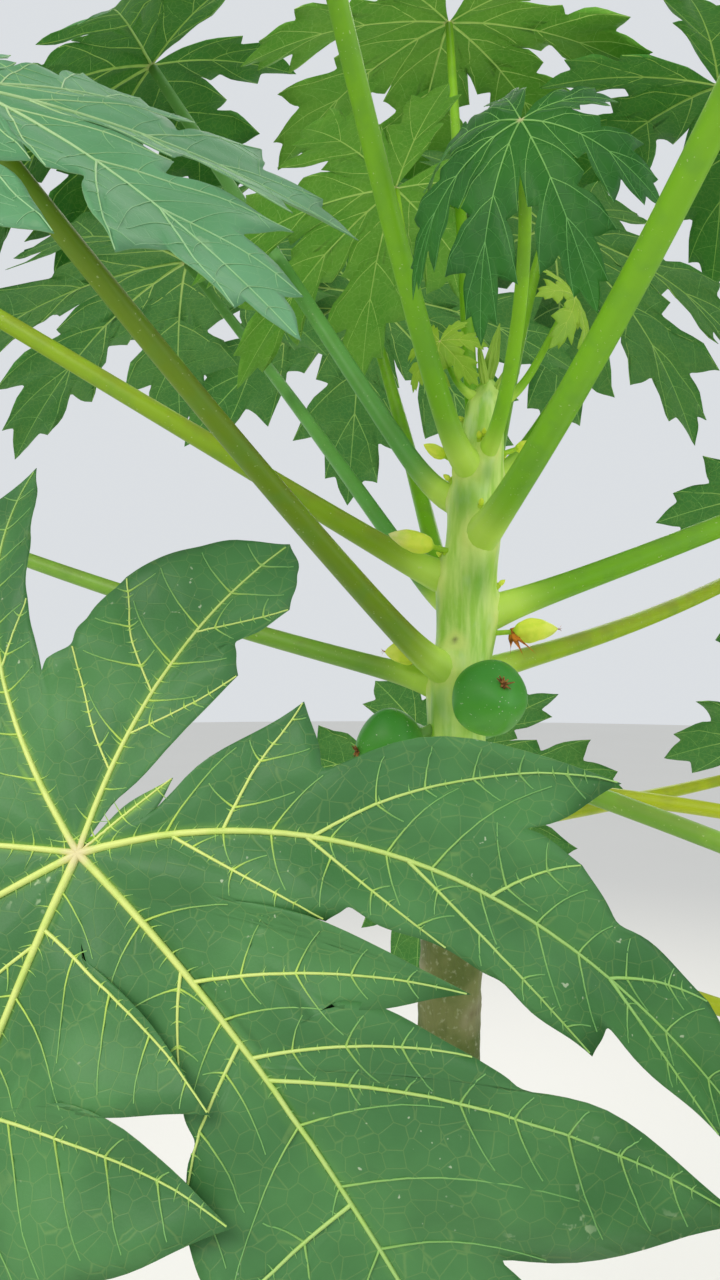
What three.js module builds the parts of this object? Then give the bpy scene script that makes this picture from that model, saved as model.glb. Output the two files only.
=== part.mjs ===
import * as THREE from "three";
import { mergeVertices } from "three/addons/utils/BufferGeometryUtils.js";

// A young papaya tree that bears its first fruit, from the cut of its trunk at ground level up.
// Sizes are in millimetres and angles in degrees. +Z is up, and bearings turn from +X towards +Y.

const clearance = 0.3;

// The trunk from the ground up: how high, how far it leans each way, and its radius there.
const trunkStations = [
  { height: 0, leanX: 0, leanY: 0, radius: 46 },
  { height: 35, leanX: 0, leanY: 0, radius: 39 },
  { height: 110, leanX: -1, leanY: 1, radius: 34.5 },
  { height: 300, leanX: -4, leanY: 3, radius: 30 },
  { height: 600, leanX: -5, leanY: 4, radius: 24.5 },
  { height: 934, leanX: -1, leanY: 2, radius: 18.5 },
  { height: 1102, leanX: 3, leanY: 0, radius: 17 },
  { height: 1198, leanX: 11, leanY: 0, radius: 16 },
  { height: 1250, leanX: 16, leanY: 0, radius: 14 },
  { height: 1290, leanX: 20, leanY: 0, radius: 11 },
  { height: 1306, leanX: 21.5, leanY: 0, radius: 7.5 },
];
const trunkSides = 20;
const trunkSteps = [
  { to: 60, step: 15 },
  { to: 180, step: 40 },
  { to: 1080, step: 75 },
  { to: 1306, step: 14 },
];
const rootFlare = { folds: 5, depth: 0.09, fade: 48 };

// Each leaf has a stalk that leaves the trunk at a height and a bearing. It bends up from its base
// to the angle rise, reaches the angle level at its tip, and swings sideways by swing.
// Its blade's outer lobe has the length span. It points along heading and is tipped down by pitch
// and sideways by roll. cup curls the blade down like an umbrella, and sag is how far it hangs.
// The leaf marked wide has lobes of its own.
const leaves = [
  {
    height: 1263, bearing: -76.7, rise: 48.5, level: 39, swing: -28.3, stalk: 185.3, girth: 10,
    heading: -155.1, pitch: 60.2, roll: -35.1, span: 86, cup: 66, sag: 0.26,
  },
  {
    height: 1254, bearing: -126, rise: 58, level: 62, swing: 9, stalk: 444, girth: 15,
    heading: -125, pitch: 12, roll: 0, span: 270, cup: 40, sag: 0.08,
  },
  {
    height: 1247, bearing: 38, rise: 48, level: 61, swing: -1, stalk: 394, girth: 14,
    heading: 24, pitch: 18, roll: 11, span: 248, cup: 38, sag: 0.08,
  },
  {
    height: 1276, bearing: 128, rise: 63.5, level: 76.7, swing: -11, stalk: 195, girth: 8,
    heading: 153.5, pitch: 28.5, roll: 7.4, span: 161, cup: 24, sag: 0.19,
  },
  {
    height: 1262, bearing: 91, rise: 69, level: 65, swing: 0, stalk: 405, girth: 11,
    heading: 96, pitch: 2, roll: -2, span: 210, cup: 34, sag: 0.08,
  },
  {
    height: 1235, bearing: 149, rise: 55, level: 54, swing: -6, stalk: 426, girth: 14,
    heading: 172, pitch: 26, roll: -10, span: 249, cup: 37, sag: 0.08,
  },
  {
    height: 1213, bearing: -73, rise: 27, level: 42, swing: -3, stalk: 460, girth: 18,
    heading: -70, pitch: 5, roll: 0, span: 280, cup: 41, sag: 0.08,
  },
  {
    height: 1188, bearing: 178, rise: 31, level: 31, swing: -1, stalk: 509, girth: 16,
    heading: 181, pitch: 35, roll: 0, span: 271, cup: 40, sag: 0.08,
  },
  {
    height: 1172, bearing: 126, rise: 44, level: 41, swing: 1, stalk: 465, girth: 13,
    heading: 151, pitch: 18, roll: -5, span: 267, cup: 32, sag: 0.08,
  },
  {
    height: 1167, bearing: 7, rise: 19, level: 27, swing: 2, stalk: 515, girth: 17,
    heading: 4, pitch: 44, roll: -3, span: 280, cup: 39, sag: 0.08,
  },
  {
    height: 1134, bearing: -138, rise: 37.6, level: 39.7, swing: 6.7, stalk: 369.3, girth: 16,
    heading: -22.3, pitch: 30.8, roll: 25.5, span: 171.5, cup: 20.2, sag: 0.02,
  },
  {
    height: 1129, bearing: 37, rise: 9, level: 27, swing: -3, stalk: 498, girth: 15,
    heading: 46, pitch: 57, roll: 5, span: 262, cup: 43, sag: 0.08,
  },
  {
    height: 1124, bearing: 166, rise: 13, level: 23, swing: 1, stalk: 497, girth: 14,
    heading: 166, pitch: 50, roll: 0, span: 280, cup: 40, sag: 0.08,
  },
  {
    height: 1030, bearing: 38, rise: 0, level: 5, swing: 2, stalk: 501, girth: 12,
    heading: 24, pitch: 60, roll: 0, span: 260, cup: 40, sag: 0.08,
  },
  {
    height: 1056, bearing: 10, rise: -5, level: -21, swing: 3, stalk: 469, girth: 12,
    heading: 12, pitch: 65, roll: 0, span: 260, cup: 40, sag: 0.08,
  },
  {
    height: 1075, bearing: -50, rise: -9, level: -16, swing: 3, stalk: 394, girth: 13,
    heading: -43, pitch: 65, roll: -9, span: 270, cup: 30, sag: 0.08,
  },
  {
    height: 965, bearing: -22, rise: -7, level: -26, swing: -1, stalk: 480, girth: 12,
    heading: -20, pitch: 65, roll: 0, span: 240, cup: 40, sag: 0.08,
  },
  {
    height: 1049, bearing: -129, rise: 16, level: -9, swing: 3, stalk: 257, girth: 13,
    heading: -26, pitch: 48, roll: 66, span: 296, cup: 30, sag: 0.17, wide: true,
  },
  {
    height: 1223, bearing: 72, rise: 51, level: 39, swing: 0, stalk: 422, girth: 14,
    heading: 73, pitch: 11, roll: 24, span: 271, cup: 42, sag: 0.08,
  },
  {
    height: 1155, bearing: 98, rise: 44, level: 37, swing: 0, stalk: 534, girth: 15,
    heading: 94, pitch: 22, roll: 7, span: 280, cup: 39, sag: 0.08,
  },
  {
    height: 1063, bearing: 86, rise: 3, level: -15, swing: 0, stalk: 464, girth: 13,
    heading: 109, pitch: 62, roll: 7, span: 252, cup: 36, sag: 0.08,
  },
  {
    height: 1036, bearing: -172, rise: 2, level: -18, swing: 0, stalk: 440, girth: 13,
    heading: -172, pitch: 60, roll: 0, span: 270, cup: 40, sag: 0.08,
  },
  {
    height: 1293, bearing: -15, rise: 72, level: 60, swing: 0, stalk: 72, girth: 6,
    heading: -30, pitch: 62, roll: 0, span: 46, cup: 60, sag: 0.1,
  },
  {
    height: 1296, bearing: -160, rise: 75, level: 80, swing: 0, stalk: 37, girth: 5,
    heading: -124, pitch: 73, roll: -3, span: 36, cup: 59, sag: 0.1,
  },
];
const stalkLift = 20; // the angle at which every stalk leaves the trunk
const stalkKnee = 16; // how soon it bends up from there
const skinGap = 0.65; // a stalk's corners stand this far off the round trunk, so that its flats clear it
const stalkSides = 7;
const stalkTaper = 0.62; // the tip's girth beside the base's
const stalkRings = [0, 7, 18, 36, 75, 130, 0.42, 0.58, 0.74, 0.88, 1]; // lengths, then shares of the stalk
const pathSteps = 60;

// A side lobe is given along the rib and out from it, as shares of the lobe's length: where it
// branches, its tip, and the notch after it.
const outerLobe = {
  sides: [
    { branch: 0.15, tip: [0.47, 0.185], notch: [0.5, 0.105] },
    { branch: 0.32, tip: [0.75, 0.26], notch: [0.72, 0.1] },
    { branch: 0.6, tip: [0.91, 0.12], notch: [0.89, 0.06] },
  ],
  last: 0.8,
};
const backLobe = {
  sides: [
    { branch: 0.17, tip: [0.52, 0.21], notch: [0.54, 0.12] },
    { branch: 0.41, tip: [0.84, 0.19], notch: [0.8, 0.085] },
  ],
  last: 0.68,
};
// A blade is a rosette of seven lobes.
const lobes = [
  { angle: -138, length: 0.58, form: backLobe },
  { angle: -92, length: 0.82, form: outerLobe },
  { angle: -46, length: 0.95, form: outerLobe },
  { angle: 0, length: 1, form: outerLobe },
  { angle: 46, length: 0.95, form: outerLobe },
  { angle: 92, length: 0.82, form: outerLobe },
  { angle: 138, length: 0.58, form: backLobe },
];
// The widest leaf, low on the -X side, has uneven lobes of its own. bow bends a lobe's rib to its left.
const wideLobes = [
  {
    angle: -245, length: 0.57, bow: 0.05, last: 0.85,
    right: [
      { branch: 0.3, tip: [0.56, 0.17], notch: [0.64, 0.1] },
      { branch: 0.62, tip: [0.8, 0.15], notch: [0.91, 0.09] },
    ],
    left: [
      { branch: 0.2, tip: [0.44, 0.23], notch: [0.52, 0.245] },
      { branch: 0.42, tip: [0.68, 0.245], notch: [0.86, 0.15] },
    ],
  },
  {
    angle: -204, length: 0.75, bow: 0.1, last: 0.8,
    right: [{ branch: 0.4, tip: [0.55, 0.07], notch: [0.75, 0.06] }],
    left: [{ branch: 0.4, tip: [0.5, 0.08], notch: [0.7, 0.075] }],
  },
  {
    angle: -134, length: 0.66, bow: 0, last: 0.8,
    right: [
      { branch: 0.2, tip: [0.5, 0.19], notch: [0.52, 0.11] },
      { branch: 0.45, tip: [0.8, 0.2], notch: [0.82, 0.08] },
    ],
    left: [
      { branch: 0.22, tip: [0.52, 0.13], notch: [0.55, 0.08] },
      { branch: 0.5, tip: [0.82, 0.15], notch: [0.84, 0.07] },
    ],
  },
  {
    angle: -101, length: 0.86, bow: 0, last: 0.82,
    right: [
      { branch: 0.18, tip: [0.48, 0.12], notch: [0.5, 0.075] },
      { branch: 0.36, tip: [0.74, 0.18], notch: [0.75, 0.09] },
      { branch: 0.62, tip: [0.91, 0.11], notch: [0.9, 0.05] },
    ],
    left: [
      { branch: 0.18, tip: [0.46, 0.12], notch: [0.48, 0.08] },
      { branch: 0.34, tip: [0.72, 0.19], notch: [0.73, 0.09] },
      { branch: 0.6, tip: [0.9, 0.12], notch: [0.89, 0.05] },
    ],
  },
  {
    angle: -60, length: 1.02, bow: 0, last: 0.84,
    right: [
      { branch: 0.12, tip: [0.32, 0.1], notch: [0.35, 0.075] },
      { branch: 0.26, tip: [0.54, 0.17], notch: [0.56, 0.09] },
      { branch: 0.44, tip: [0.76, 0.2], notch: [0.76, 0.09] },
      { branch: 0.68, tip: [0.92, 0.11], notch: [0.91, 0.05] },
    ],
    left: [
      { branch: 0.1, tip: [0.185, 0.29], notch: [0.262, 0.09] },
      { branch: 0.22, tip: [0.278, 0.354], notch: [0.42, 0.18] },
      { branch: 0.42, tip: [0.75, 0.27], notch: [0.73, 0.1] },
      { branch: 0.66, tip: [0.91, 0.13], notch: [0.9, 0.05] },
    ],
  },
  {
    angle: 2, length: 1, bow: 0.04, last: 0.84,
    right: [
      { branch: 0.2, tip: [0.299, 0.084], notch: [0.363, 0.105] },
      { branch: 0.3, tip: [0.406, 0.173], notch: [0.51, 0.183] },
      { branch: 0.36, tip: [0.547, 0.429], notch: [0.7, 0.12] },
      { branch: 0.66, tip: [0.9, 0.14], notch: [0.89, 0.06] },
    ],
    left: [
      { branch: 0.22, tip: [0.425, 0.275], notch: [0.33, 0.11] },
      { branch: 0.33, tip: [0.48, 0.235], notch: [0.54, 0.26] },
      { branch: 0.36, tip: [0.79, 0.445], notch: [0.64, 0.105] },
      { branch: 0.66, tip: [0.9, 0.15], notch: [0.88, 0.06] },
    ],
  },
  {
    angle: 38, length: 0.94, bow: 0.14, last: 0.86,
    right: [
      { branch: 0.12, tip: [0.36, 0.11], notch: [0.385, 0.08] },
      { branch: 0.3, tip: [0.52, 0.095], notch: [0.6, 0.095] },
      { branch: 0.44, tip: [0.735, 0.11], notch: [0.745, 0.055] },
      { branch: 0.74, tip: [0.93, 0.05], notch: [0.96, 0.025] },
    ],
    left: [
      { branch: 0.19, tip: [0.25, 0.2], notch: [0.3, 0.08] },
      { branch: 0.31, tip: [0.7, 0.27], notch: [0.575, 0.11] },
      { branch: 0.56, tip: [0.67, 0.115], notch: [0.735, 0.07] },
      { branch: 0.74, tip: [0.88, 0.09], notch: [0.96, 0.045] },
    ],
  },
  { angle: 92, length: 0.16, bow: 0, last: 0.5, right: [], left: [] },
];
// The notches of the widest leaf from lobe to lobe, by angle and reach.
const wideNotches = [
  [-252, 0.08], [-202, 0.27], [-160, 0.2], [-117, 0.22], [-81, 0.26],
  [-28, 0.13], [38, 0.21], [80, 0.11], [99, 0.06],
];
const bladeLift = 3; // the angle at which a blade rises from its stalk before it curls down
const bladeThickness = 0.02; // beside the span
const bladeFold = 0.16; // how far a lobe's margins stand above its rib
const deepNotch = 0.24; // where two lobes part
const backNotch = { angle: 24, reach: 0.07 };

// Fruit and flower buds: where each leaves the trunk, and its size and tilt.
const fruits = [
  { height: 1121, bearing: -72, rise: -8, length: 45, width: 43 },
  { height: 1096, bearing: -160, rise: -14, length: 42, width: 40 },
  { height: 1109, bearing: 66, rise: -8, length: 41, width: 39 },
  { height: 1082, bearing: 128, rise: -12, length: 46, width: 44 },
];
const buds = [
  { height: 1203, bearing: -155, rise: 12, stem: 9, length: 31, width: 13 },
  { height: 1143, bearing: -168, rise: 0, stem: 9, length: 22, width: 16 },
  { height: 1154, bearing: -8, rise: 4, stem: 12, length: 27, width: 15 },
  { height: 1256, bearing: -165, rise: 25, stem: 7, length: 16, width: 8 },
  { height: 1262, bearing: 2, rise: 20, stem: 7, length: 13, width: 7 },
  { height: 1228, bearing: 5, rise: 35, stem: 6, length: 10, width: 7 },
];
const spear = { length: 36, width: 9, lean: 12 };

const colours = {
  bark: 0x8a8f63,
  stalk: 0x8fb03a,
  blade: 0x3f7d47,
  youngBlade: 0x9fc23c,
  fruit: 0x41903f,
  bud: 0xc8e23c,
};

function rad(degrees) {
  return THREE.MathUtils.degToRad(degrees);
}

// A repeatable number from 0 to 1.
function chance(a, b) {
  const v = Math.sin(a * 12.9898 + b * 78.233) * 43758.5453;
  return v - Math.floor(v);
}

function material(colour, roughness) {
  return new THREE.MeshStandardMaterial({ color: colour, roughness, metalness: 0 });
}

// A smooth curve from b to c, with a before it and d after it.
function smooth(a, b, c, d, t) {
  const bend = 2 * a - 5 * b + 4 * c - d;
  const twist = 3 * b - a - 3 * c + d;
  return 0.5 * (2 * b + (c - a) * t + bend * t ** 2 + twist * t ** 3);
}

// The trunk's middle and radius at a height.
function trunkAt(height) {
  const last = trunkStations.length - 1;
  let i = 0;
  while (i < last - 1 && height > trunkStations[i + 1].height) i += 1;
  const near = [i - 1, i, i + 1, i + 2].map((k) => trunkStations[Math.min(Math.max(k, 0), last)]);
  const t = (height - near[1].height) / (near[2].height - near[1].height);
  const [x, y, radius] = ["leanX", "leanY", "radius"].map((key) => smooth(...near.map((s) => s[key]), t));
  return { x, y, radius };
}

// Moves every vertex of a closed cylinder, given the share of its height and its angle round it.
function shapeCylinder(sides, rings, place) {
  const geometry = new THREE.CylinderGeometry(1, 1, 1, sides, rings);
  geometry.deleteAttribute("normal");
  geometry.deleteAttribute("uv");
  const position = geometry.getAttribute("position");
  for (let i = 0; i < position.count; i += 1) {
    const p = new THREE.Vector3().fromBufferAttribute(position, i);
    const ring = Math.round((p.y + 0.5) * rings);
    const turn = Math.atan2(-p.z, p.x);
    const q = place(ring, turn, Math.min(Math.hypot(p.x, p.z), 1));
    position.setXYZ(i, q.x, q.y, q.z);
  }
  return mergeVertices(geometry, 1e-3);
}

// The heights of the trunk's rings, closer at the root flare and among the leaves.
function ringHeights() {
  const heights = [0];
  trunkSteps.forEach(({ to, step }) => {
    const from = heights.at(-1);
    const count = Math.round((to - from) / step);
    for (let i = 1; i <= count; i += 1) heights.push(from + ((to - from) * i) / count);
  });
  return heights;
}

function makeTrunk() {
  const heights = ringHeights();
  return shapeCylinder(trunkSides, heights.length - 1, (ring, turn, out) => {
    const height = heights[ring];
    const at = trunkAt(height);
    const fold = rootFlare.depth * Math.exp(-height / rootFlare.fade) * Math.cos(rootFlare.folds * turn);
    const reach = at.radius * (1 + fold) * out;
    return new THREE.Vector3(at.x + reach * Math.cos(turn), at.y + reach * Math.sin(turn), height);
  });
}

// The stalk's middle line: points with the bearing and the angle there.
function stalkPath(leaf) {
  const at = trunkAt(leaf.height);
  const start = rad(leaf.bearing);
  const p = new THREE.Vector3(
    at.x + at.radius * Math.cos(start),
    at.y + at.radius * Math.sin(start),
    leaf.height,
  );
  const step = leaf.stalk / pathSteps;
  const path = [{ p: p.clone(), rise: rad(stalkLift), bearing: start }];
  for (let i = 0; i < pathSteps; i += 1) {
    const length = (i + 0.5) * step;
    const share = length / leaf.stalk;
    const straight = leaf.rise + (leaf.level - leaf.rise) * share;
    const rise = rad(straight - (straight - stalkLift) * Math.exp(-length / stalkKnee));
    const bearing = rad(leaf.bearing + leaf.swing * share);
    p.x += step * Math.cos(rise) * Math.cos(bearing);
    p.y += step * Math.cos(rise) * Math.sin(bearing);
    p.z += step * Math.sin(rise);
    path.push({ p: p.clone(), rise, bearing });
  }
  return path;
}

// Pushes a point off the trunk's skin.
function offTrunk(p) {
  if (p.z > trunkStations.at(-1).height) return p;
  const at = trunkAt(p.z);
  const away = Math.hypot(p.x - at.x, p.y - at.y);
  const least = at.radius + skinGap;
  if (away >= least) return p;
  p.x = at.x + ((p.x - at.x) * least) / away;
  p.y = at.y + ((p.y - at.y) * least) / away;
  return p;
}

function makeStalk(leaf) {
  const path = stalkPath(leaf);
  const shares = stalkRings
    .map((ring) => (ring > 1 ? ring / leaf.stalk : ring))
    .filter((share) => share <= 1)
    .sort((a, b) => a - b);
  return shapeCylinder(stalkSides, shares.length - 1, (ring, turn, out) => {
    const share = shares[ring];
    const k = Math.min(share * pathSteps, pathSteps - 1e-6);
    const low = path[Math.floor(k)];
    const high = path[Math.floor(k) + 1];
    const p = low.p.clone().lerp(high.p, k - Math.floor(k));
    const radius = (leaf.girth / 2) * (1 - (1 - stalkTaper) * share) * out;
    const across = radius * Math.cos(turn);
    const over = radius * Math.sin(turn);
    const side = new THREE.Vector3(-Math.sin(high.bearing), Math.cos(high.bearing), 0);
    if (ring === 0) return seatOnTrunk(leaf, across, over * 1.15, out);
    const along = new THREE.Vector3(
      Math.cos(high.rise) * Math.cos(high.bearing),
      Math.cos(high.rise) * Math.sin(high.bearing),
      Math.sin(high.rise),
    );
    const up = along.cross(side);
    return offTrunk(p.addScaledVector(side, across).addScaledVector(up, over));
  });
}

// The stalk's foot follows the trunk's round skin.
function seatOnTrunk(leaf, across, over, out) {
  const height = leaf.height + over;
  const at = trunkAt(height);
  const bearing = rad(leaf.bearing);
  const skin = at.radius + skinGap + (1 - out) * clearance;
  const outward = Math.sqrt(skin ** 2 - across ** 2);
  return new THREE.Vector3(
    at.x + outward * Math.cos(bearing) - across * Math.sin(bearing),
    at.y + outward * Math.sin(bearing) + across * Math.cos(bearing),
    height,
  );
}

// The blade's own directions: outward along its middle lobe, sideways and up through its face.
function bladeFrame(leaf) {
  const [heading, pitch, roll] = [rad(leaf.heading), rad(leaf.pitch), rad(leaf.roll)];
  const outward = new THREE.Vector3(
    Math.cos(heading) * Math.cos(pitch),
    Math.sin(heading) * Math.cos(pitch),
    -Math.sin(pitch),
  );
  const side = new THREE.Vector3(-Math.sin(heading), Math.cos(heading), 0).applyAxisAngle(outward, roll);
  const face = outward.clone().cross(side);
  return { outward, side, face };
}

// Where the blade's middle sits: just over the stalk's tip, clear of its rim.
function bladeCentre(leaf, frame) {
  const path = stalkPath(leaf);
  const tip = path.at(-1);
  const along = tip.p.clone().sub(path.at(-2).p).normalize();
  const rim = (leaf.girth / 2) * stalkTaper;
  const tilt = Math.sqrt(Math.max(0, 1 - along.dot(frame.face) ** 2));
  const lift = (leaf.span * bladeThickness) / 2 + clearance + 0.9 * rim * tilt;
  return tip.p.clone().addScaledVector(frame.face, lift);
}

// A function that puts a point of the flat leaf, in shares of its span, on the curled and hung one.
function bladeShape(leaf) {
  const frame = bladeFrame(leaf);
  const centre = bladeCentre(leaf, frame);
  const steps = 40;
  return (x, y, above) => {
    const reach = Math.hypot(x, y);
    let flat = 0;
    let high = 0;
    for (let i = 0; i < steps; i += 1) {
      const slope = rad(bladeLift - (leaf.cup * reach * (i + 0.5)) / steps);
      flat += (Math.cos(slope) * reach) / steps;
      high += (Math.sin(slope) * reach) / steps;
    }
    const turn = Math.atan2(y, x);
    const p = centre.clone();
    p.addScaledVector(frame.outward, leaf.span * flat * Math.cos(turn));
    p.addScaledVector(frame.side, leaf.span * flat * Math.sin(turn));
    p.addScaledVector(frame.face, leaf.span * high + above);
    p.z -= leaf.sag * leaf.span * reach ** 2;
    return p;
  };
}

// The lobes of a leaf. All but the wide one's differ a little in angle, length and width.
function leafLobes(leaf, seed) {
  if (leaf.wide) return wideLobes.map((lobe) => ({ ...lobe, turn: rad(lobe.angle) }));
  return lobes.map(({ angle, length: usual, form }, i) => {
    const [right, left] = [-1, 1].map((hand) =>
      form.sides.map((side, k) => {
        const spread = 1 + 0.16 * (chance(seed + i, hand * 3 + k + 9) - 0.5);
        return { ...side, tip: [side.tip[0], side.tip[1] * spread] };
      }),
    );
    const turn = rad(angle + 3 * (chance(seed, i) - 0.5));
    const length = usual * (1 + 0.12 * (chance(seed, i + 20) - 0.5));
    return { turn, length, bow: 0, right, left, last: form.last };
  });
}

// The notches between the lobes, with one at each side of the stalk.
function deepNotches(leaf, all) {
  const spots = leaf.wide ? wideNotches.map(([angle, reach]) => [rad(angle), reach]) : [];
  if (!leaf.wide) {
    spots.push([all[0].turn - rad(backNotch.angle), backNotch.reach]);
    for (let i = 1; i < all.length; i += 1) {
      const reach = (deepNotch * (all[i - 1].length + all[i].length)) / 2;
      spots.push([(all[i - 1].turn + all[i].turn) / 2, reach]);
    }
    spots.push([all.at(-1).turn + rad(backNotch.angle), backNotch.reach]);
  }
  return spots.map(([turn, reach]) => [reach * Math.cos(turn), reach * Math.sin(turn)]);
}

// A blade is two sheets that meet at the margin and stand apart along the ribs.
function makeBlade(leaf, seed) {
  const place = bladeShape(leaf);
  const half = (leaf.span * bladeThickness) / 2;
  const points = [];
  const sheet = [];
  const onRib = (x, y) => points.push([place(x, y, half), place(x, y, -half)]) - 1;
  const onMargin = (x, y, rise) => {
    const p = place(x, y, rise * leaf.span);
    return points.push([p, p]) - 1;
  };
  const middle = onRib(0, 0);
  const all = leafLobes(leaf, seed);
  const notches = deepNotches(leaf, all).map(([x, y]) => onMargin(x, y, bladeFold * 0.06));
  all.forEach((lobe, i) => {
    const { turn, length, bow } = lobe;
    const at = (along, out) => {
      const left = out + 4 * bow * along * (1 - along);
      const x = length * (along * Math.cos(turn) - left * Math.sin(turn));
      const y = length * (along * Math.sin(turn) + left * Math.cos(turn));
      return [x, y];
    };
    const rise = (out) => bladeFold * out * length;
    const branches = [...lobe.right, ...lobe.left].map((side) => side.branch);
    const spots = [...new Set([...branches, lobe.last])].sort((a, b) => a - b);
    const rib = [middle, ...spots.map((spot) => onRib(...at(spot, 0)))];
    const end = onMargin(...at(1, 0), 0);
    [-1, 1].forEach((hand) => {
      const faces = [];
      let from = 0;
      let before = notches[hand < 0 ? i : i + 1];
      const runTo = (to) => {
        for (; from < to; from += 1) faces.push([rib[from], before, rib[from + 1]]);
      };
      (hand < 0 ? lobe.right : lobe.left).forEach((side) => {
        runTo(spots.indexOf(side.branch) + 1);
        const tip = onMargin(...at(side.tip[0], side.tip[1] * hand), rise(side.tip[1]));
        const notch = onMargin(...at(side.notch[0], side.notch[1] * hand), rise(side.notch[1]));
        faces.push([rib[from], before, tip], [rib[from], tip, notch]);
        before = notch;
      });
      runTo(spots.length);
      faces.push([rib[from], before, end]);
      sheet.push(...(hand < 0 ? faces : faces.map(([a, b, c]) => [a, c, b])));
    });
  });
  return closeSheets(points, sheet, middle, [notches[0], notches.at(-1)]);
}

// The two sheets share their margin, and two small faces close the blade beside its stalk.
function closeSheets(points, sheet, middle, [right, left]) {
  const [over, under] = points[middle];
  const corners = [points[right][0], over, under, over, points[left][0], under];
  sheet.forEach(([a, b, c]) => {
    corners.push(points[a][0], points[b][0], points[c][0]);
    corners.push(points[a][1], points[c][1], points[b][1]);
  });
  return mergeVertices(new THREE.BufferGeometry().setFromPoints(corners), 1e-3);
}

// A shape turned round its own axis, with its foot at the origin and its tip along +Z.
function turned(profile, sides) {
  const points = profile.map(([out, up]) => new THREE.Vector2(out, up));
  const geometry = new THREE.LatheGeometry(points, sides);
  geometry.deleteAttribute("normal");
  geometry.deleteAttribute("uv");
  return mergeVertices(geometry.rotateX(Math.PI / 2), 1e-3);
}

// Stands a turned shape on the trunk, pointing along its bearing and rise.
function onTrunk(geometry, spot) {
  const at = trunkAt(spot.height);
  const [bearing, rise] = [rad(spot.bearing), rad(spot.rise)];
  const along = new THREE.Vector3(
    Math.cos(rise) * Math.cos(bearing),
    Math.cos(rise) * Math.sin(bearing),
    Math.sin(rise),
  );
  const turn = new THREE.Quaternion().setFromUnitVectors(new THREE.Vector3(0, 0, 1), along);
  const skin = at.radius + clearance + spot.foot * Math.abs(Math.sin(rise));
  const footX = at.x + skin * Math.cos(bearing);
  const footY = at.y + skin * Math.sin(bearing);
  return geometry.applyQuaternion(turn).translate(footX, footY, spot.height);
}

function makeFruit(fruit) {
  const neck = { length: 5, radius: 3.4 };
  const rings = 9;
  const profile = [[0, 0], [neck.radius, 0], [neck.radius * 0.9, neck.length]];
  for (let i = 1; i < rings; i += 1) {
    const t = i / rings;
    const swell = Math.sin(Math.PI * t) ** 0.62 * (1 + 0.1 * Math.cos(Math.PI * t));
    profile.push([(fruit.width / 2) * swell, neck.length + fruit.length * t]);
  }
  profile.push([0, neck.length + fruit.length]);
  return onTrunk(turned(profile, 12), { ...fruit, foot: neck.radius });
}

function makeBud(bud) {
  const stem = 1.6;
  const half = bud.width / 2;
  const profile = [
    [0, 0],
    [stem, 0],
    [stem * 0.9, bud.stem],
    [half * 0.72, bud.stem + bud.length * 0.12],
    [half, bud.stem + bud.length * 0.36],
    [half * 0.8, bud.stem + bud.length * 0.66],
    [half * 0.36, bud.stem + bud.length * 0.9],
    [0, bud.stem + bud.length],
  ];
  return onTrunk(turned(profile, 8), { ...bud, foot: stem });
}

// The youngest leaf, still folded, stands on the trunk's tip.
function makeSpear() {
  const top = trunkStations.at(-1);
  const half = spear.width / 2;
  const profile = [
    [0, 0],
    [half * 0.7, 0],
    [half, spear.length * 0.35],
    [half * 0.55, spear.length * 0.75],
    [0, spear.length],
  ];
  const tilt = new THREE.Matrix4().makeRotationY(rad(spear.lean));
  const lift = clearance + half * 0.7 * Math.sin(rad(spear.lean));
  return turned(profile, 8).applyMatrix4(tilt).translate(top.leanX, top.leanY, top.height + lift);
}

const tree = new THREE.Group();

function add(name, geometry, skin) {
  const mesh = new THREE.Mesh(geometry, skin);
  mesh.name = name;
  tree.add(mesh);
}

add("trunk", makeTrunk(), material(colours.bark, 0.85));
leaves.forEach((leaf, i) => {
  const label = String(i + 1).padStart(2, "0");
  const young = leaf.span < 60;
  add(`stalk_${label}`, makeStalk(leaf), material(colours.stalk, 0.5));
  add(`blade_${label}`, makeBlade(leaf, i + 1), material(young ? colours.youngBlade : colours.blade, 0.6));
});
fruits.forEach((fruit, i) => add(`fruit_${i + 1}`, makeFruit(fruit), material(colours.fruit, 0.5)));
buds.forEach((bud, i) => add(`bud_${i + 1}`, makeBud(bud), material(colours.bud, 0.5)));
add("spear", makeSpear(), material(colours.youngBlade, 0.5));

export default tree;
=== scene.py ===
import math
import bmesh
import bpy
import numpy as np
from mathutils import Matrix, Vector, noise
from mathutils.bvhtree import BVHTree


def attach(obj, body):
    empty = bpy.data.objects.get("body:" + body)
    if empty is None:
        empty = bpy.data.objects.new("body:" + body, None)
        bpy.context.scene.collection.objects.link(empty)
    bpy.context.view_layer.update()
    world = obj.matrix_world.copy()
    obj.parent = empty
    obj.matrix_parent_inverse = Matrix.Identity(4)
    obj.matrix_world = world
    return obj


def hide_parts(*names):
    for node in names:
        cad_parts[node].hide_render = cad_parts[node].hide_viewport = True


# A young papaya tree: a bare trunk, a crown of long-stalked leaves with seven lobes, and its first fruit.
# The tables hold millimetres and degrees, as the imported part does. The meshes are in metres.

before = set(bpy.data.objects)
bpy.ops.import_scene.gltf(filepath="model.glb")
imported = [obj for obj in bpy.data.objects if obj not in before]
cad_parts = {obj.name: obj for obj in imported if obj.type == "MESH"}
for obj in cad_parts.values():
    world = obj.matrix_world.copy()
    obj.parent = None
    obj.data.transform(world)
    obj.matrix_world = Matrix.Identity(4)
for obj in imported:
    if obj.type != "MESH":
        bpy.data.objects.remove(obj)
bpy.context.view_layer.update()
scene = bpy.context.scene
mm = 0.001
print("frame loaded:", len(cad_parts), "nodes")

# Camera, floor and light

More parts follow.
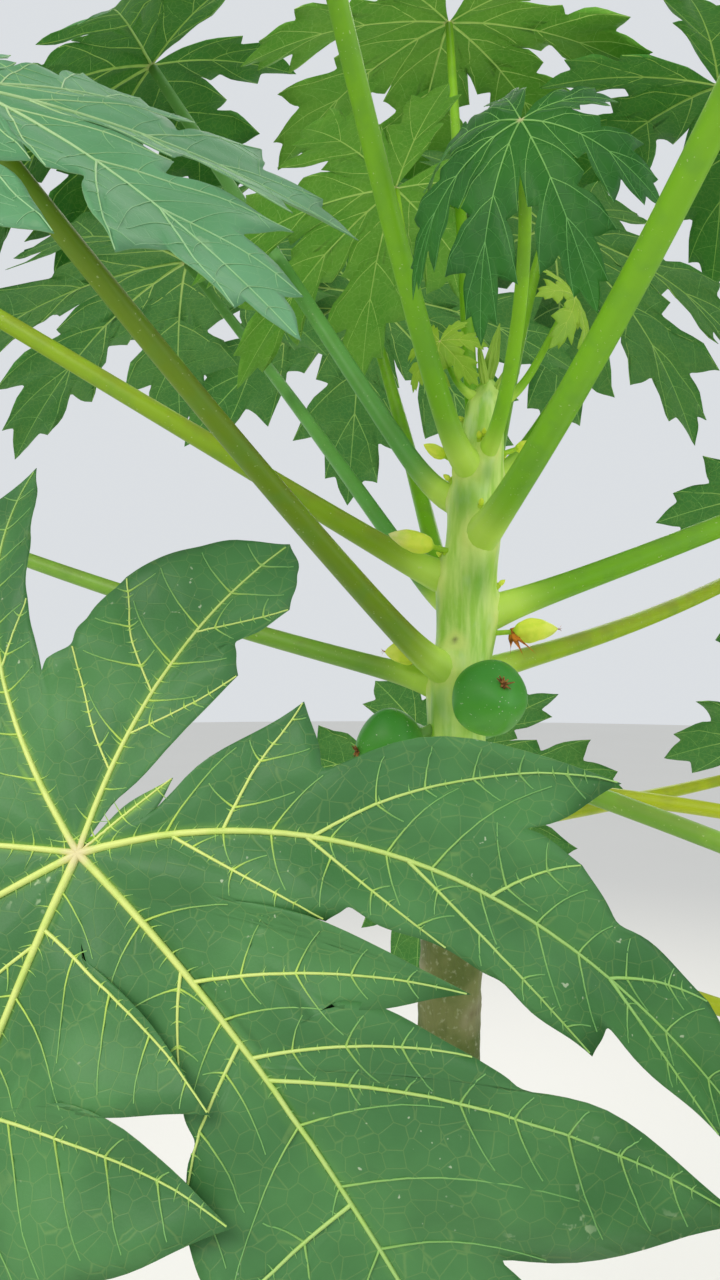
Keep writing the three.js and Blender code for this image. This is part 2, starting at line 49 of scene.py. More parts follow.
view = dict(eye=(-55, -620, 1150), focal=1033, height=1280, film=36)  # focal and height in pixels
studio = dict(
    floor=14, floorColour=(232, 230, 225), sky=(236, 240, 244), skyPower=0.85,
    lamps=[
        dict(name="key", at=(-1.7, -2.2, 3.1), size=1.7, power=60, colour=(255, 251, 242)),
        dict(name="fill", at=(2.4, -1.6, 1.9), size=2.2, power=18, colour=(242, 247, 255)),
        dict(name="back", at=(0.6, 2.4, 2.9), size=2.0, power=45, colour=(255, 252, 240)),
    ],
    aim=(0, 0, 1.15),
)


def linear(colour):
    # A colour given as 0 to 255 becomes the linear one that the shader takes.
    parts = [n / 255 for n in colour]
    parts = [n / 12.92 if n <= 0.04045 else ((n + 0.055) / 1.055) ** 2.4 for n in parts]
    return (*parts, 1)


def placed(name, data):
    made = bpy.data.objects.new(name, data)
    scene.collection.objects.link(made)
    return made


def addCamera():
    lens = bpy.data.cameras.new("camera")
    lens.sensor_fit = "VERTICAL"
    lens.sensor_height = view["film"]
    lens.lens = view["film"] * view["focal"] / view["height"]
    lens.clip_start = 0.01
    holder = placed("camera", lens)
    holder.location = [n * mm for n in view["eye"]]
    holder.rotation_euler = (math.pi / 2, 0, 0)
    scene.camera = holder


def addLamps():
    for lamp in studio["lamps"]:
        light = bpy.data.lights.new(lamp["name"], "AREA")
        light.size = lamp["size"]
        light.energy = lamp["power"]
        light.color = linear(lamp["colour"])[:3]
        holder = placed(lamp["name"], light)
        holder.location = lamp["at"]
        away = Vector(lamp["at"]) - Vector(studio["aim"])
        holder.rotation_euler = away.to_track_quat("Z", "Y").to_euler()
    world = bpy.data.worlds.new("sky")
    world.use_nodes = True
    backdrop = world.node_tree.nodes["Background"]
    backdrop.inputs["Color"].default_value = linear(studio["sky"])
    backdrop.inputs["Strength"].default_value = studio["skyPower"]
    scene.world = world
    scene.view_settings.view_transform = "Standard"


# Materials: a Wire is a node's output that can be added, multiplied and so on.


class Wire:
    def __init__(self, tree, socket):
        self.tree = tree
        self.socket = socket

    def math(self, operation, other, flipped=False, clamped=False):
        node = self.tree.nodes.new("ShaderNodeMath")
        node.operation = operation
        node.use_clamp = clamped
        terms = (other, self) if flipped else (self, other)
        for slot, term in zip(node.inputs, terms):
            if isinstance(term, Wire):
                self.tree.links.new(term.socket, slot)
            else:
                slot.default_value = term
        return Wire(self.tree, node.outputs[0])

    def __add__(self, other):
        return self.math("ADD", other)

    def __sub__(self, other):
        return self.math("SUBTRACT", other)

    def __rsub__(self, other):
        return self.math("SUBTRACT", other, flipped=True)

    def __mul__(self, other):
        return self.math("MULTIPLY", other)

    def __pow__(self, other):
        return self.math("POWER", other)

    def held(self):
        # Kept from 0 to 1.
        return self.math("ADD", 0.0, clamped=True)

    __radd__ = __add__
    __rmul__ = __mul__


class Finish:
    def __init__(self, name, gloss):
        self.made = bpy.data.materials.new(name)
        self.made.use_nodes = True
        self.tree = self.made.node_tree
        self.shader = self.tree.nodes["Principled BSDF"]
        self.shader.inputs["Specular IOR Level"].default_value = gloss

    def node(self, kind, settings, sockets, output=0):
        made = self.tree.nodes.new("ShaderNode" + kind)
        for key, value in settings.items():
            setattr(made, key, value)
        for key, value in sockets.items():
            if isinstance(value, Wire):
                self.tree.links.new(value.socket, made.inputs[key])
            else:
                made.inputs[key].default_value = value
        return Wire(self.tree, made.outputs[output])

    def spot(self):
        return self.node("TexCoord", {}, {}, "Object")

    def place(self, stretch):
        return self.node("Mapping", {}, {"Vector": self.spot(), "Scale": stretch})

    def mottle(self, size, detail=3, stretch=(1, 1, 1)):
        # Soft patches about size millimetres across.
        sockets = {"Vector": self.place(stretch), "Scale": 1 / (size * mm), "Detail": detail}
        return self.node("TexNoise", {}, sockets, "Fac")

    def cells(self, size, stretch=(1, 1, 1)):
        # How far a spot is from the edge of its cell.
        sockets = {"Vector": self.place(stretch), "Scale": 1 / (size * mm)}
        return self.node("TexVoronoi", {"feature": "DISTANCE_TO_EDGE"}, sockets, "Distance")

    def mark(self, name):
        # A number that the mesh holds at each of its points.
        return self.node("Attribute", {"attribute_name": name}, {}, "Fac")

    def height(self):
        return self.node("SeparateXYZ", {}, {"Vector": self.spot()}, "Z")

    def ramp(self, value, low, high):
        # 0 below low, 1 above high and smooth between them.
        sockets = {"Value": value, "From Min": low, "From Max": high}
        return self.node("MapRange", {"interpolation_type": "SMOOTHSTEP"}, sockets)

    def spots(self, size, detail, low, high, stretch=(1, 1, 1)):
        return self.ramp(self.mottle(size, detail, stretch), low, high)

    def mix(self, share, first, second):
        shades = [linear(n) if isinstance(n, tuple) else n for n in (first, second)]
        return self.node("Mix", {"data_type": "RGBA"}, {0: share, 6: shades[0], 7: shades[1]}, 2)

    def layers(self, colour, *others):
        # Each further layer is how much of it shows, and its colour.
        for share, shade in others:
            colour = self.mix(share, colour, shade)
        return colour

    def paint(self, colour, roughness, relief=None, depth=0.4, strength=0.5):
        # The relief stands depth millimetres high.
        self.tree.links.new(colour.socket, self.shader.inputs["Base Color"])
        self.tree.links.new(roughness.socket, self.shader.inputs["Roughness"])
        if relief is not None:
            sockets = {"Height": relief, "Strength": strength, "Distance": depth * mm}
            bump = self.node("Bump", {}, sockets)
            self.tree.links.new(bump.socket, self.shader.inputs["Normal"])
        return self.made


bladeTones = {
    "near": dict(upper=(76, 132, 72), deep=(60, 114, 60), under=(100, 150, 90), rib=(220, 232, 130),
                 tip=(150, 200, 112), vein=(120, 176, 100), halo=(164, 210, 62), specks=0.5, quilt=1),
    # sheen: painted sheen, pale blue-green colours that stand in for the light this leaf reflects
    "sheen": dict(upper=(112, 170, 124), deep=(98, 156, 108), under=(120, 160, 108), rib=(190, 220, 160),
                  tip=(160, 204, 150), vein=(140, 190, 140), halo=(140, 190, 110), specks=0.2, quilt=0.4),
    "dark": dict(upper=(52, 124, 36), deep=(38, 104, 32), under=(92, 140, 66), rib=(160, 216, 120),
                 tip=(110, 176, 96), vein=(72, 146, 68), halo=(84, 160, 60), specks=0, quilt=0.8),
    # lit: painted light, brighter and yellower colours for the leaves that light shines through from behind
    "lit": dict(upper=(84, 156, 44), deep=(62, 134, 36), under=(116, 174, 58), rib=(196, 228, 116),
                tip=(176, 216, 104), vein=(150, 202, 92), halo=(120, 184, 52), specks=0.1, quilt=0.9),
    "middle": dict(upper=(54, 126, 58), deep=(42, 108, 46), under=(82, 140, 60), rib=(184, 218, 112),
                   tip=(150, 200, 100), vein=(118, 178, 88), halo=(112, 174, 64), specks=0.1, quilt=0.9),
    "crown": dict(upper=(64, 136, 52), deep=(50, 118, 46), under=(76, 140, 50), rib=(176, 214, 100),
                  tip=(150, 200, 88), vein=(122, 180, 78), halo=(108, 168, 56), specks=0.1, quilt=0.9),
    "young": dict(upper=(164, 202, 50), deep=(142, 188, 42), under=(180, 210, 66), rib=(212, 228, 110),
                  tip=(200, 220, 90), vein=(190, 212, 70), halo=(200, 218, 74), specks=0, quilt=0.8),
}
stemTones = {
    "bright": dict(body=(122, 184, 26), tip=(136, 190, 40), flush=(150, 164, 44), share=0.1),
    "lime": dict(body=(140, 204, 30), tip=(160, 212, 44), flush=(170, 204, 54), share=0.1),
    "golden": dict(body=(136, 172, 28), tip=(164, 194, 40), flush=(156, 146, 44), share=0.35),
    "blue": dict(body=(100, 170, 76), tip=(118, 172, 92), flush=(116, 160, 76), share=0.1),
    "olive": dict(body=(124, 156, 22), tip=(110, 140, 24), flush=(124, 96, 28), share=0.4),
    "flushed": dict(body=(164, 196, 38), tip=(184, 206, 44), flush=(186, 152, 74), share=0.3),
    "pale": dict(body=(126, 172, 58), tip=(142, 188, 68), flush=(142, 146, 76), share=0.3),
    "yellow": dict(body=(182, 196, 30), tip=(200, 210, 44), flush=(186, 176, 54), share=0.3),
}


def bladeTop(tone, name):
    finish = Finish("leaf " + name, gloss=0.4)
    cloud, grain, nerve = finish.mottle(48, 4), finish.mottle(1.2, 2), finish.mark("nerve")
    net = 1 - finish.ramp(finish.cells(7.5), 0, 0.04)
    speck = finish.spots(2.6, 1, 0.73, 0.78) * finish.spots(60, 2, 0.5, 0.62)
    scrape = finish.spots(7, 3, 0.62, 0.68) * finish.spots(80, 1, 0.58, 0.66)
    base = finish.layers(
        tone["deep"], (finish.ramp(cloud, 0.34, 0.68), tone["upper"]), (net * 0.07, tone["rib"]),
        ((nerve * (0.5 + cloud * 0.8)).held() * 0.85, tone["halo"]),
        (speck * tone["specks"], (222, 230, 200)), (scrape * tone["specks"] * 1.2, (206, 222, 180)),
    )
    return finish.paint(base, cloud * 0.16 + 0.44, grain * 0.35 - net * 0.25 - nerve * 0.6, depth=0.5)


def bladeUnder(tone, name):
    finish = Finish("underleaf " + name, gloss=0.25)
    cloud = finish.mottle(36, 3)
    net = 1 - finish.ramp(finish.cells(5), 0, 0.1)
    base = finish.layers(
        tone["under"], (finish.ramp(cloud, 0.3, 0.7) * 0.5, tone["upper"]), (net * 0.12, tone["rib"]),
        (finish.mark("nerve") * 0.5, tone["halo"]),
    )
    return finish.paint(base, cloud * 0.1 + 0.58, net * 0.6 + finish.mottle(1, 2) * 0.2, depth=0.4)


def ribFinish(tone, name):
    # Yellowest by the stalk and paler green out towards the lobes' tips.
    finish = Finish("leaf rib " + name, gloss=0.4)
    cloud, far = finish.mottle(9, 3), finish.mark("far")
    base = finish.layers(
        tone["rib"], (finish.ramp(far, 0.12, 0.85), tone["tip"]),
        (finish.ramp(cloud, 0.45, 0.8) * 0.4, tone["halo"]),
        (1 - finish.ramp(far, 0.004, 0.035), (226, 214, 160)),
    )
    return finish.paint(base, cloud * 0.1 + 0.42, finish.mottle(0.8, 2), depth=0.15)


def veinFinish(tone, name):
    finish = Finish("leaf vein " + name, gloss=0.4)
    cloud, root = finish.mottle(9, 3), finish.mark("root") ** 2
    near = 1 - finish.ramp(finish.mark("far"), 0.08, 0.6)
    bright = finish.mix(0.6, tone["rib"], tone["halo"])
    base = finish.mix((root * (0.3 + near) + near * cloud * 0.3).held(), tone["vein"], bright)
    return finish.paint(base, cloud * 0.1 + 0.45, finish.mottle(0.8, 2), depth=0.1)


def stemFinish(tone, name):
    finish = Finish("leaf stalk " + name, gloss=0.3)
    cloud, streak = finish.mottle(16, 3), finish.mottle(2.2, 3)
    flush = finish.mark("upward") * finish.ramp(cloud, 0.3, 0.6) * tone["share"]
    base = finish.layers(
        tone["body"], (finish.mark("along"), tone["tip"]), (finish.ramp(cloud, 0.42, 0.7) * 0.3, (96, 150, 60)),
        (flush.held(), tone["flush"]), (finish.mark("foot"), (206, 240, 96)),
        (finish.spots(1.6, 1, 0.72, 0.76) * 0.35, (226, 232, 180)),
    )
    return finish.paint(base, cloud * 0.14 + 0.34, streak * 0.5 + finish.mottle(0.7, 1) * 0.2, depth=0.25)


def trunkFinish():
    # Smooth and green among the leaves, and grey-brown bark further down.
    finish = Finish("trunk skin", gloss=0.4)
    broad, fine, streak = finish.mottle(26, 4), finish.mottle(3, 4), finish.mottle(5, 3, (1, 1, 0.16))
    cracks = 1 - finish.ramp(finish.cells(7, (1, 1, 0.35)), 0, 0.11)
    height = finish.height()
    young = finish.ramp(height, 0.85, 1.05)
    level = height + (broad - 0.5) * 0.2
    green = finish.layers(
        (174, 226, 74), (finish.ramp(streak, 0.35, 0.65), (222, 250, 138)),
        (finish.spots(13, 3, 0.5, 0.68, (1, 1, 0.5)) * 0.35, (222, 248, 204)),
        # the shade mark is painted shade: a darker green below each stalk's foot
        (finish.mark("collar").held() * 0.9, (236, 250, 136)), (finish.mark("shade") * 0.6, (98, 160, 40)),
    )
    olive = finish.layers(
        (104, 116, 54), (finish.ramp(broad, 0.4, 0.62), (138, 140, 84)),
        (finish.ramp(fine, 0.55, 0.7) * 0.6, (186, 186, 150)),
    )
    bark = finish.layers(
        (120, 110, 90), (finish.ramp(broad, 0.36, 0.64), (158, 148, 122)),
        (finish.ramp(fine, 0.5, 0.72) * 0.5, (186, 180, 160)), (cracks * 0.5, (82, 72, 58)),
    )
    base = finish.layers(
        bark, (finish.ramp(level, 0.66, 0.86), olive), (finish.ramp(level, 0.97, 1.06), green),
        (finish.mark("scar") * 0.75, (168, 158, 122)), (finish.mark("pit") * 0.8, (104, 84, 58)),
    )
    relief = fine * 0.5 + (1 - young) * (fine - cracks * 0.9) + streak * 0.3
    return finish.paint(base, 0.72 - young * 0.38 + fine * 0.1, relief, depth=0.7, strength=0.6)


def fruitFinish():
    finish = Finish("fruit skin", gloss=0.45)
    cloud, speck = finish.mottle(14, 3), finish.spots(1.5, 1, 0.735, 0.76)
    base = finish.layers(
        (98, 182, 58), (finish.mark("upper"), (58, 144, 46)), (finish.ramp(cloud, 0.4, 0.7) * 0.35, (76, 156, 66)),
        (speck * 0.8, (222, 232, 206)), (finish.mark("neck"), (150, 190, 110)),
    )
    return finish.paint(base, cloud * 0.18 + 0.36, finish.mottle(0.9, 2) - speck * 0.5, depth=0.2)


def budFinish():
    finish = Finish("flower bud", gloss=0.35)
    cloud = finish.mottle(5, 3)
    base = finish.layers(
        (244, 253, 84), (finish.mark("foot"), (164, 210, 50)), (finish.mark("tip"), (240, 236, 158)),
        (finish.ramp(cloud, 0.45, 0.7) * 0.4, (212, 240, 56)),
    )
    return finish.paint(base, cloud * 0.15 + 0.42, finish.mottle(1.1, 2), depth=0.2)


def witheredFinish(name, dark, light):
    finish = Finish("withered " + name, gloss=0.2)
    cloud = finish.mottle(2.2, 4)
    base = finish.mix(finish.ramp(cloud, 0.35, 0.65), dark, light)
    return finish.paint(base, cloud * 0.2 + 0.6, cloud, depth=0.4)


def floorFinish():
    finish = Finish("studio floor", gloss=0.1)
    cloud = finish.mottle(900, 2)
    base = finish.mix(cloud * 0.2, studio["floorColour"], (214, 212, 206))
    return finish.paint(base, cloud * 0.1 + 0.8)


# Shared ways of making a mesh


def sleeve(name, points, marks, finish, ends=None):
    # A closed skin through rings of points, in millimetres. Marks are numbers on each of the points, and the
    # ends are two spots that close the rings.
    if ends:
        first, last = [np.repeat(np.reshape(spot, (1, 1, 3)), points.shape[1], axis=1) for spot in ends]
        points = np.concatenate([first, points, last])
        marks = {key: np.concatenate([value[:1], value, value[-1:]]) for key, value in marks.items()}
    rows, sides = points.shape[:2]
    shape = bmesh.new()
    layers = {key: shape.verts.layers.float.new(key) for key in marks}
    bmesh.ops.create_grid(shape, x_segments=sides, y_segments=rows - 1, size=0.5)
    for vert in shape.verts:
        column = round((vert.co.x + 0.5) * sides) % sides
        row = round((vert.co.y + 0.5) * (rows - 1))
        for key, layer in layers.items():
            vert[layer] = marks[key][row, column]
        vert.co = points[row, column] * mm
    bmesh.ops.remove_doubles(shape, verts=shape.verts, dist=1e-6)
    bmesh.ops.recalc_face_normals(shape, faces=shape.faces)
    return asObject(name, asMesh(name, shape), finish)


def asMesh(name, shape):
    mesh = bpy.data.meshes.new(name)
    shape.to_mesh(mesh)
    shape.free()
    mesh.shade_smooth()
    return mesh


def asObject(name, mesh, *finishes):
    for finish in finishes:
        mesh.materials.append(finish)
    return placed(name, mesh)


def joined(name, parts):
    if len(parts) > 1:
        with bpy.context.temp_override(active_object=parts[0], selected_editable_objects=parts):
            bpy.ops.object.join()
    parts[0].name = name
    return parts[0]


def asPiece(made, slot, *nodes):
    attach(made, "root")
    if nodes:
        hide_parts(*nodes)


def baked(made):
    # The mesh that an object's modifiers or a curve's tube give.
    bpy.context.view_layer.update()
    return bpy.data.meshes.new_from_object(made.evaluated_get(bpy.context.evaluated_depsgraph_get()))


def chance(a, b):
    # A repeatable number from 0 to 1.
    value = math.sin(a * 12.9898 + b * 78.233) * 43758.5453
    return value - math.floor(value)


def sway(amount, a, b):
    # A repeatable number from half the amount below 0 to half of it above.
    return amount * (chance(a, b) - 0.5)


def around(count):
    # Even bearings of one full turn, in radians.
    return np.arange(count) * 2 * math.pi / count


def direction(rise, bearing):
    return np.stack([np.cos(rise) * np.cos(bearing), np.cos(rise) * np.sin(bearing), np.sin(rise)], axis=-1)


def sideways(bearing):
    return np.stack([-np.sin(bearing), np.cos(bearing), 0 * bearing], axis=-1)


def unit(way):
    return way / np.linalg.norm(way)


def bell(value):
    return np.exp(-(value ** 2))


def between(at, known, path):
    # The spots of a path at the given distances along it.
    return np.stack([np.interp(at, known, row) for row in path.T], axis=-1)


def ringed(middle, wide, tall, side=(1, 0, 0), over=(0, 1, 0)):
    # Rings of points round a line. wide and tall hold a row of half widths for each ring.
    turn = around(wide.shape[1])
    side, over = [np.reshape(way, (-1, 1, 3)) for way in (side, over)]
    return middle[:, None] + (wide * np.cos(turn))[..., None] * side + (tall * np.sin(turn))[..., None] * over


# The tree's driving sizes

clearance = 0.3  # between a leaf or a fruit and what carries it
trunkStations = [  # height, lean towards +X, lean towards +Y, radius
    (0, 0, 0, 46), (35, 0, 0, 39), (110, -1, 1, 34.5), (300, -4, 3, 30), (600, -5, 4, 24.5), (934, -1, 2, 18.5),
    (1102, 3, 0, 17), (1198, 11, 0, 16), (1250, 16, 0, 14), (1290, 20, 0, 11), (1306, 21.5, 0, 7.5),
]
# Each leaf's stalk leaves the trunk at a height and a bearing, bends up from rise to level and swings sideways.
# Its blade points along heading, is tipped by pitch and roll, and curls down by cup and sag.
leafSizes = (
    "height", "bearing", "rise", "level", "swing", "stalk", "girth",
    "heading", "pitch", "roll", "span", "cup", "sag", "blade", "stem",
)
leaves = [dict(zip(leafSizes, row)) for row in [
    (1263, -76.7, 48.5, 39, -28.3, 185.3, 10, -155.1, 60.2, -35.1, 86, 66, 0.26, "dark", "lime"),
    (1254, -126, 58, 62, 9, 444, 15, -125, 12, 0, 270, 40, 0.08, "crown", "bright"),
    (1247, 38, 48, 61, -1, 394, 14, 24, 18, 11, 248, 38, 0.08, "crown", "bright"),
    (1276, 128, 63.5, 76.7, -11, 195, 8, 153.5, 28.5, 7.4, 161, 24, 0.19, "lit", "lime"),
    (1262, 91, 69, 65, 0, 405, 11, 96, 2, -2, 210, 34, 0.08, "lit", "bright"),
    (1235, 149, 55, 54, -6, 426, 14, 172, 26, -10, 249, 37, 0.08, "crown", "blue"),
    (1213, -73, 27, 42, -3, 460, 18, -70, 5, 0, 280, 41, 0.08, "crown", "bright"),
    (1188, 178, 31, 31, -1, 509, 16, 181, 35, 0, 271, 40, 0.08, "middle", "golden"),
    (1172, 126, 44, 41, 1, 465, 13, 151, 18, -5, 267, 32, 0.08, "middle", "blue"),
    (1167, 7, 19, 27, 2, 515, 17, 4, 44, -3, 280, 39, 0.08, "middle", "bright"),
    (1134, -138, 37.6, 39.7, 6.7, 369.3, 16, -22.3, 30.8, 25.5, 171.5, 20.2, 0.02, "sheen", "olive"),
    (1129, 37, 9, 27, -3, 498, 15, 46, 57, 5, 262, 43, 0.08, "middle", "flushed"),
    (1124, 166, 13, 23, 1, 497, 14, 166, 50, 0, 280, 40, 0.08, "middle", "pale"),
    (1030, 38, 0, 5, 2, 501, 12, 24, 60, 0, 260, 40, 0.08, "middle", "yellow"),
    (1056, 10, -5, -21, 3, 469, 12, 12, 65, 0, 260, 40, 0.08, "middle", "yellow"),
    (1075, -50, -9, -16, 3, 394, 13, -43, 65, -9, 270, 30, 0.08, "middle", "pale"),
    (965, -22, -7, -26, -1, 480, 12, -20, 65, 0, 240, 40, 0.08, "middle", "yellow"),
    (1049, -129, 16, -9, 3, 257, 13, -26, 48, 66, 296, 30, 0.17, "near", "pale"),
    (1223, 72, 51, 39, 0, 422, 14, 73, 11, 24, 271, 42, 0.08, "middle", "bright"),
    (1155, 98, 44, 37, 0, 534, 15, 94, 22, 7, 280, 39, 0.08, "middle", "bright"),
    (1063, 86, 3, -15, 0, 464, 13, 109, 62, 7, 252, 36, 0.08, "middle", "bright"),
    (1036, -172, 2, -18, 0, 440, 13, -172, 60, 0, 270, 40, 0.08, "middle", "bright"),
    (1293, -15, 72, 60, 0, 72, 6, -30, 62, 0, 46, 60, 0.1, "young", "lime"),
    (1296, -160, 75, 80, 0, 37, 5, -124, 73, -3, 36, 59, 0.1, "young", "lime"),
]]
stalkShape = dict(lift=20, knee=16, taper=0.62, steps=60, rings=52, sides=18, sink=7)
lobes = [  # angle, length, kind
    (-138, 0.58, "back"), (-92, 0.82, "outer"), (-46, 0.95, "outer"), (0, 1, "outer"),
    (46, 0.95, "outer"), (92, 0.82, "outer"), (138, 0.58, "back"),
]
lobeForms = {  # where each side lobe branches from the rib, its tip, and the notch after it
    "outer": dict(sides=[(0.15, (0.47, 0.185), (0.5, 0.105)), (0.32, (0.75, 0.26), (0.72, 0.1)),
                         (0.6, (0.91, 0.12), (0.89, 0.06))], last=0.8),
    "back": dict(sides=[(0.17, (0.52, 0.21), (0.54, 0.12)), (0.41, (0.84, 0.19), (0.8, 0.085))], last=0.68),
}
wideLobes = [  # the widest leaf's own: angle, length, bow, last spot, then the side lobes right and left
    (-245, 0.57, 0.05, 0.85,
     [(0.3, (0.56, 0.17), (0.64, 0.1)), (0.62, (0.8, 0.15), (0.91, 0.09))],
     [(0.2, (0.44, 0.23), (0.52, 0.245)), (0.42, (0.68, 0.245), (0.86, 0.15))]),
    (-204, 0.75, 0.1, 0.8,
     [(0.4, (0.55, 0.07), (0.75, 0.06))],
     [(0.4, (0.5, 0.08), (0.7, 0.075))]),
    (-134, 0.66, 0, 0.8,
     [(0.2, (0.5, 0.19), (0.52, 0.11)), (0.45, (0.8, 0.2), (0.82, 0.08))],
     [(0.22, (0.52, 0.13), (0.55, 0.08)), (0.5, (0.82, 0.15), (0.84, 0.07))]),
    (-101, 0.86, 0, 0.82,
     [(0.18, (0.48, 0.12), (0.5, 0.075)), (0.36, (0.74, 0.18), (0.75, 0.09)),
      (0.62, (0.91, 0.11), (0.9, 0.05))],
     [(0.18, (0.46, 0.12), (0.48, 0.08)), (0.34, (0.72, 0.19), (0.73, 0.09)),
      (0.6, (0.9, 0.12), (0.89, 0.05))]),
    (-60, 1.02, 0, 0.84,
     [(0.12, (0.32, 0.1), (0.35, 0.075)), (0.26, (0.54, 0.17), (0.56, 0.09)),
      (0.44, (0.76, 0.2), (0.76, 0.09)), (0.68, (0.92, 0.11), (0.91, 0.05))],
     [(0.1, (0.185, 0.29), (0.262, 0.09)), (0.22, (0.278, 0.354), (0.42, 0.18)),
      (0.42, (0.75, 0.27), (0.73, 0.1)), (0.66, (0.91, 0.13), (0.9, 0.05))]),
    (2, 1, 0.04, 0.84,
     [(0.2, (0.299, 0.084), (0.363, 0.105)), (0.3, (0.406, 0.173), (0.51, 0.183)),
      (0.36, (0.547, 0.429), (0.7, 0.12)), (0.66, (0.9, 0.14), (0.89, 0.06))],
     [(0.22, (0.425, 0.275), (0.33, 0.11)), (0.33, (0.48, 0.235), (0.54, 0.26)),
      (0.36, (0.79, 0.445), (0.64, 0.105)), (0.66, (0.9, 0.15), (0.88, 0.06))]),
    (38, 0.94, 0.14, 0.86,
     [(0.12, (0.36, 0.11), (0.385, 0.08)), (0.3, (0.52, 0.095), (0.6, 0.095)),
      (0.44, (0.735, 0.11), (0.745, 0.055)), (0.74, (0.93, 0.05), (0.96, 0.025))],
     [(0.19, (0.25, 0.2), (0.3, 0.08)), (0.31, (0.7, 0.27), (0.575, 0.11)),
      (0.56, (0.67, 0.115), (0.735, 0.07)), (0.74, (0.88, 0.09), (0.96, 0.045))]),
    (92, 0.16, 0, 0.5,
     [],
     []),
]
wideNotches = [  # angle and reach
    (-252, 0.08), (-202, 0.27), (-160, 0.2), (-117, 0.22), (-81, 0.26), (-28, 0.13),
    (38, 0.21), (80, 0.11), (99, 0.06),
]
bladeForm = dict(
    lift=3, thickness=0.02, fold=0.16, notch=0.24, backNotch=(24, 0.07), crease=0.02,
    vary=dict(tip=0.16, turn=3, length=0.12),  # how much the lobes differ from leaf to leaf
    bulge=dict(first=0.07, tip=0.14, bay=0.1),  # how far the margin bows up to the first tip, a later tip and a bay
    hook=0.8,  # a bay closer to the rib than this share of its tip's distance keeps a sharp tip
)
bladeDetail = dict(
    # per and across: points along each piece of margin, and from the rib out to it. gap: between fine veins.
    # points: along a rib, a side vein, a fine one and a short one.
    away=dict(per=6, across=6, gap=0.095, points=(20, 10, 6, 3)),
    close=dict(per=12, across=11, gap=0.068, points=(30, 16, 8, 4)),
    sheet=0.3,  # its real thickness in millimetres
    quilt=0.006, quiltWidth=0.016,  # how deep and wide the blade sinks along its veins, beside its span
    crowd=1.5,  # how much closer the points stand by the ribs than by the margin
    seam=4,  # how many rows from the line to a notch share their height with the next lobe
    # ripple: its height beside the span, its waves along and across, finer ones, and how far from a rib it is full
    ripple=dict(height=0.014, along=17, across=15, fine=31, share=0.6, full=0.12),
    halo=0.0034, haloReach=0.26,  # the pale edge beside the ribs: its width, and how far out it fades
)
veinRanks = [
    # thick: half the width at its foot in shares of the span, times a power of the lobe's length. thin: at its end.
    # reach and depth: how wide and deep the blade sinks along it, beside bladeDetail's.
    dict(thick=0.0062, power=0.5, thin=0.0012, taper=0.7, reach=1.5, depth=1),
    dict(thick=0.0028, power=1, thin=0.0012, taper=0.7, reach=1, depth=0.8),
    dict(thick=0.0019, power=0, thin=0.0009, taper=0.45, reach=0.6, depth=0.45),
    dict(thick=0.0017, power=0, thin=0.0003, taper=0.7),
]
wholeRib = np.array([[0.0, 0.0], [1.0, 0.0]])


def trunkAt(height):
    last = len(trunkStations) - 1
    i = 0
    while i < last - 1 and height > trunkStations[i + 1][0]:
        i += 1
    near = [np.array(trunkStations[min(max(k, 0), last)], float) for k in (i - 1, i, i + 1, i + 2)]
    t = (height - near[1][0]) / (near[2][0] - near[1][0])
    a, b, c, d = near
    bent = (c - a) * t + (2 * a - 5 * b + 4 * c - d) * t ** 2 + (3 * b - a - 3 * c + d) * t ** 3
    _, x, y, radius = 0.5 * (2 * b + bent)
    return x, y, radius


# Trunk

trunkLook = dict(
    sides=96, crownFrom=1010, crownStep=1.8, lowStep=5,
    flare=dict(folds=5, depth=0.09, fade=48), dome=1288, cap=1.8,
    bark=dict(top=1050, over=500),  # where it ends, and over what height it fades
    dents=dict(depth=0.35, onBark=0.9, near=2.1, up=0.018), knobs=dict(depth=0.55, near=8.4, up=0.22),
    facets=dict(count=5, depth=0.45, twist=0.011),
    # round each stalk's foot, most of them beside its girth
    collar=dict(
        height=3.2, width=4.2, spread=0.1, root=30, foot=0.56, glow=0.36, bulge=0.24,
        ridge=dict(height=0.04, at=0.52, width=0.15, fall=2.3), hollow=dict(width=0.5, at=1.5, tall=0.8),
    ),
    # where the lowest near leaf's bud dropped
    fallen=dict(height=1150, bearing=-113, wide=7.5, tall=6, droop=0.4, dot=1.6),
    # growth: how much wider and taller the oldest is. age: how much of it has faded
    scar=dict(
        top=1022, least=40, gap=17, width=12, height=9, growth=(0.55, 0.2), age=0.55, droop=0.25, turn=137.5,
        rim=(0.9, 0.2), hollow=0.7, ring=(0.5, 2.6), dots=(-0.5, -0.2, 0.2, 0.5), dot=1.7,
    ),
)


def trunkHeights():
    low = np.arange(0, trunkLook["crownFrom"], trunkLook["lowStep"])
    high = np.arange(trunkLook["crownFrom"], trunkStations[-1][0], trunkLook["crownStep"])
    return np.concatenate([low, high, [trunkStations[-1][0]]])


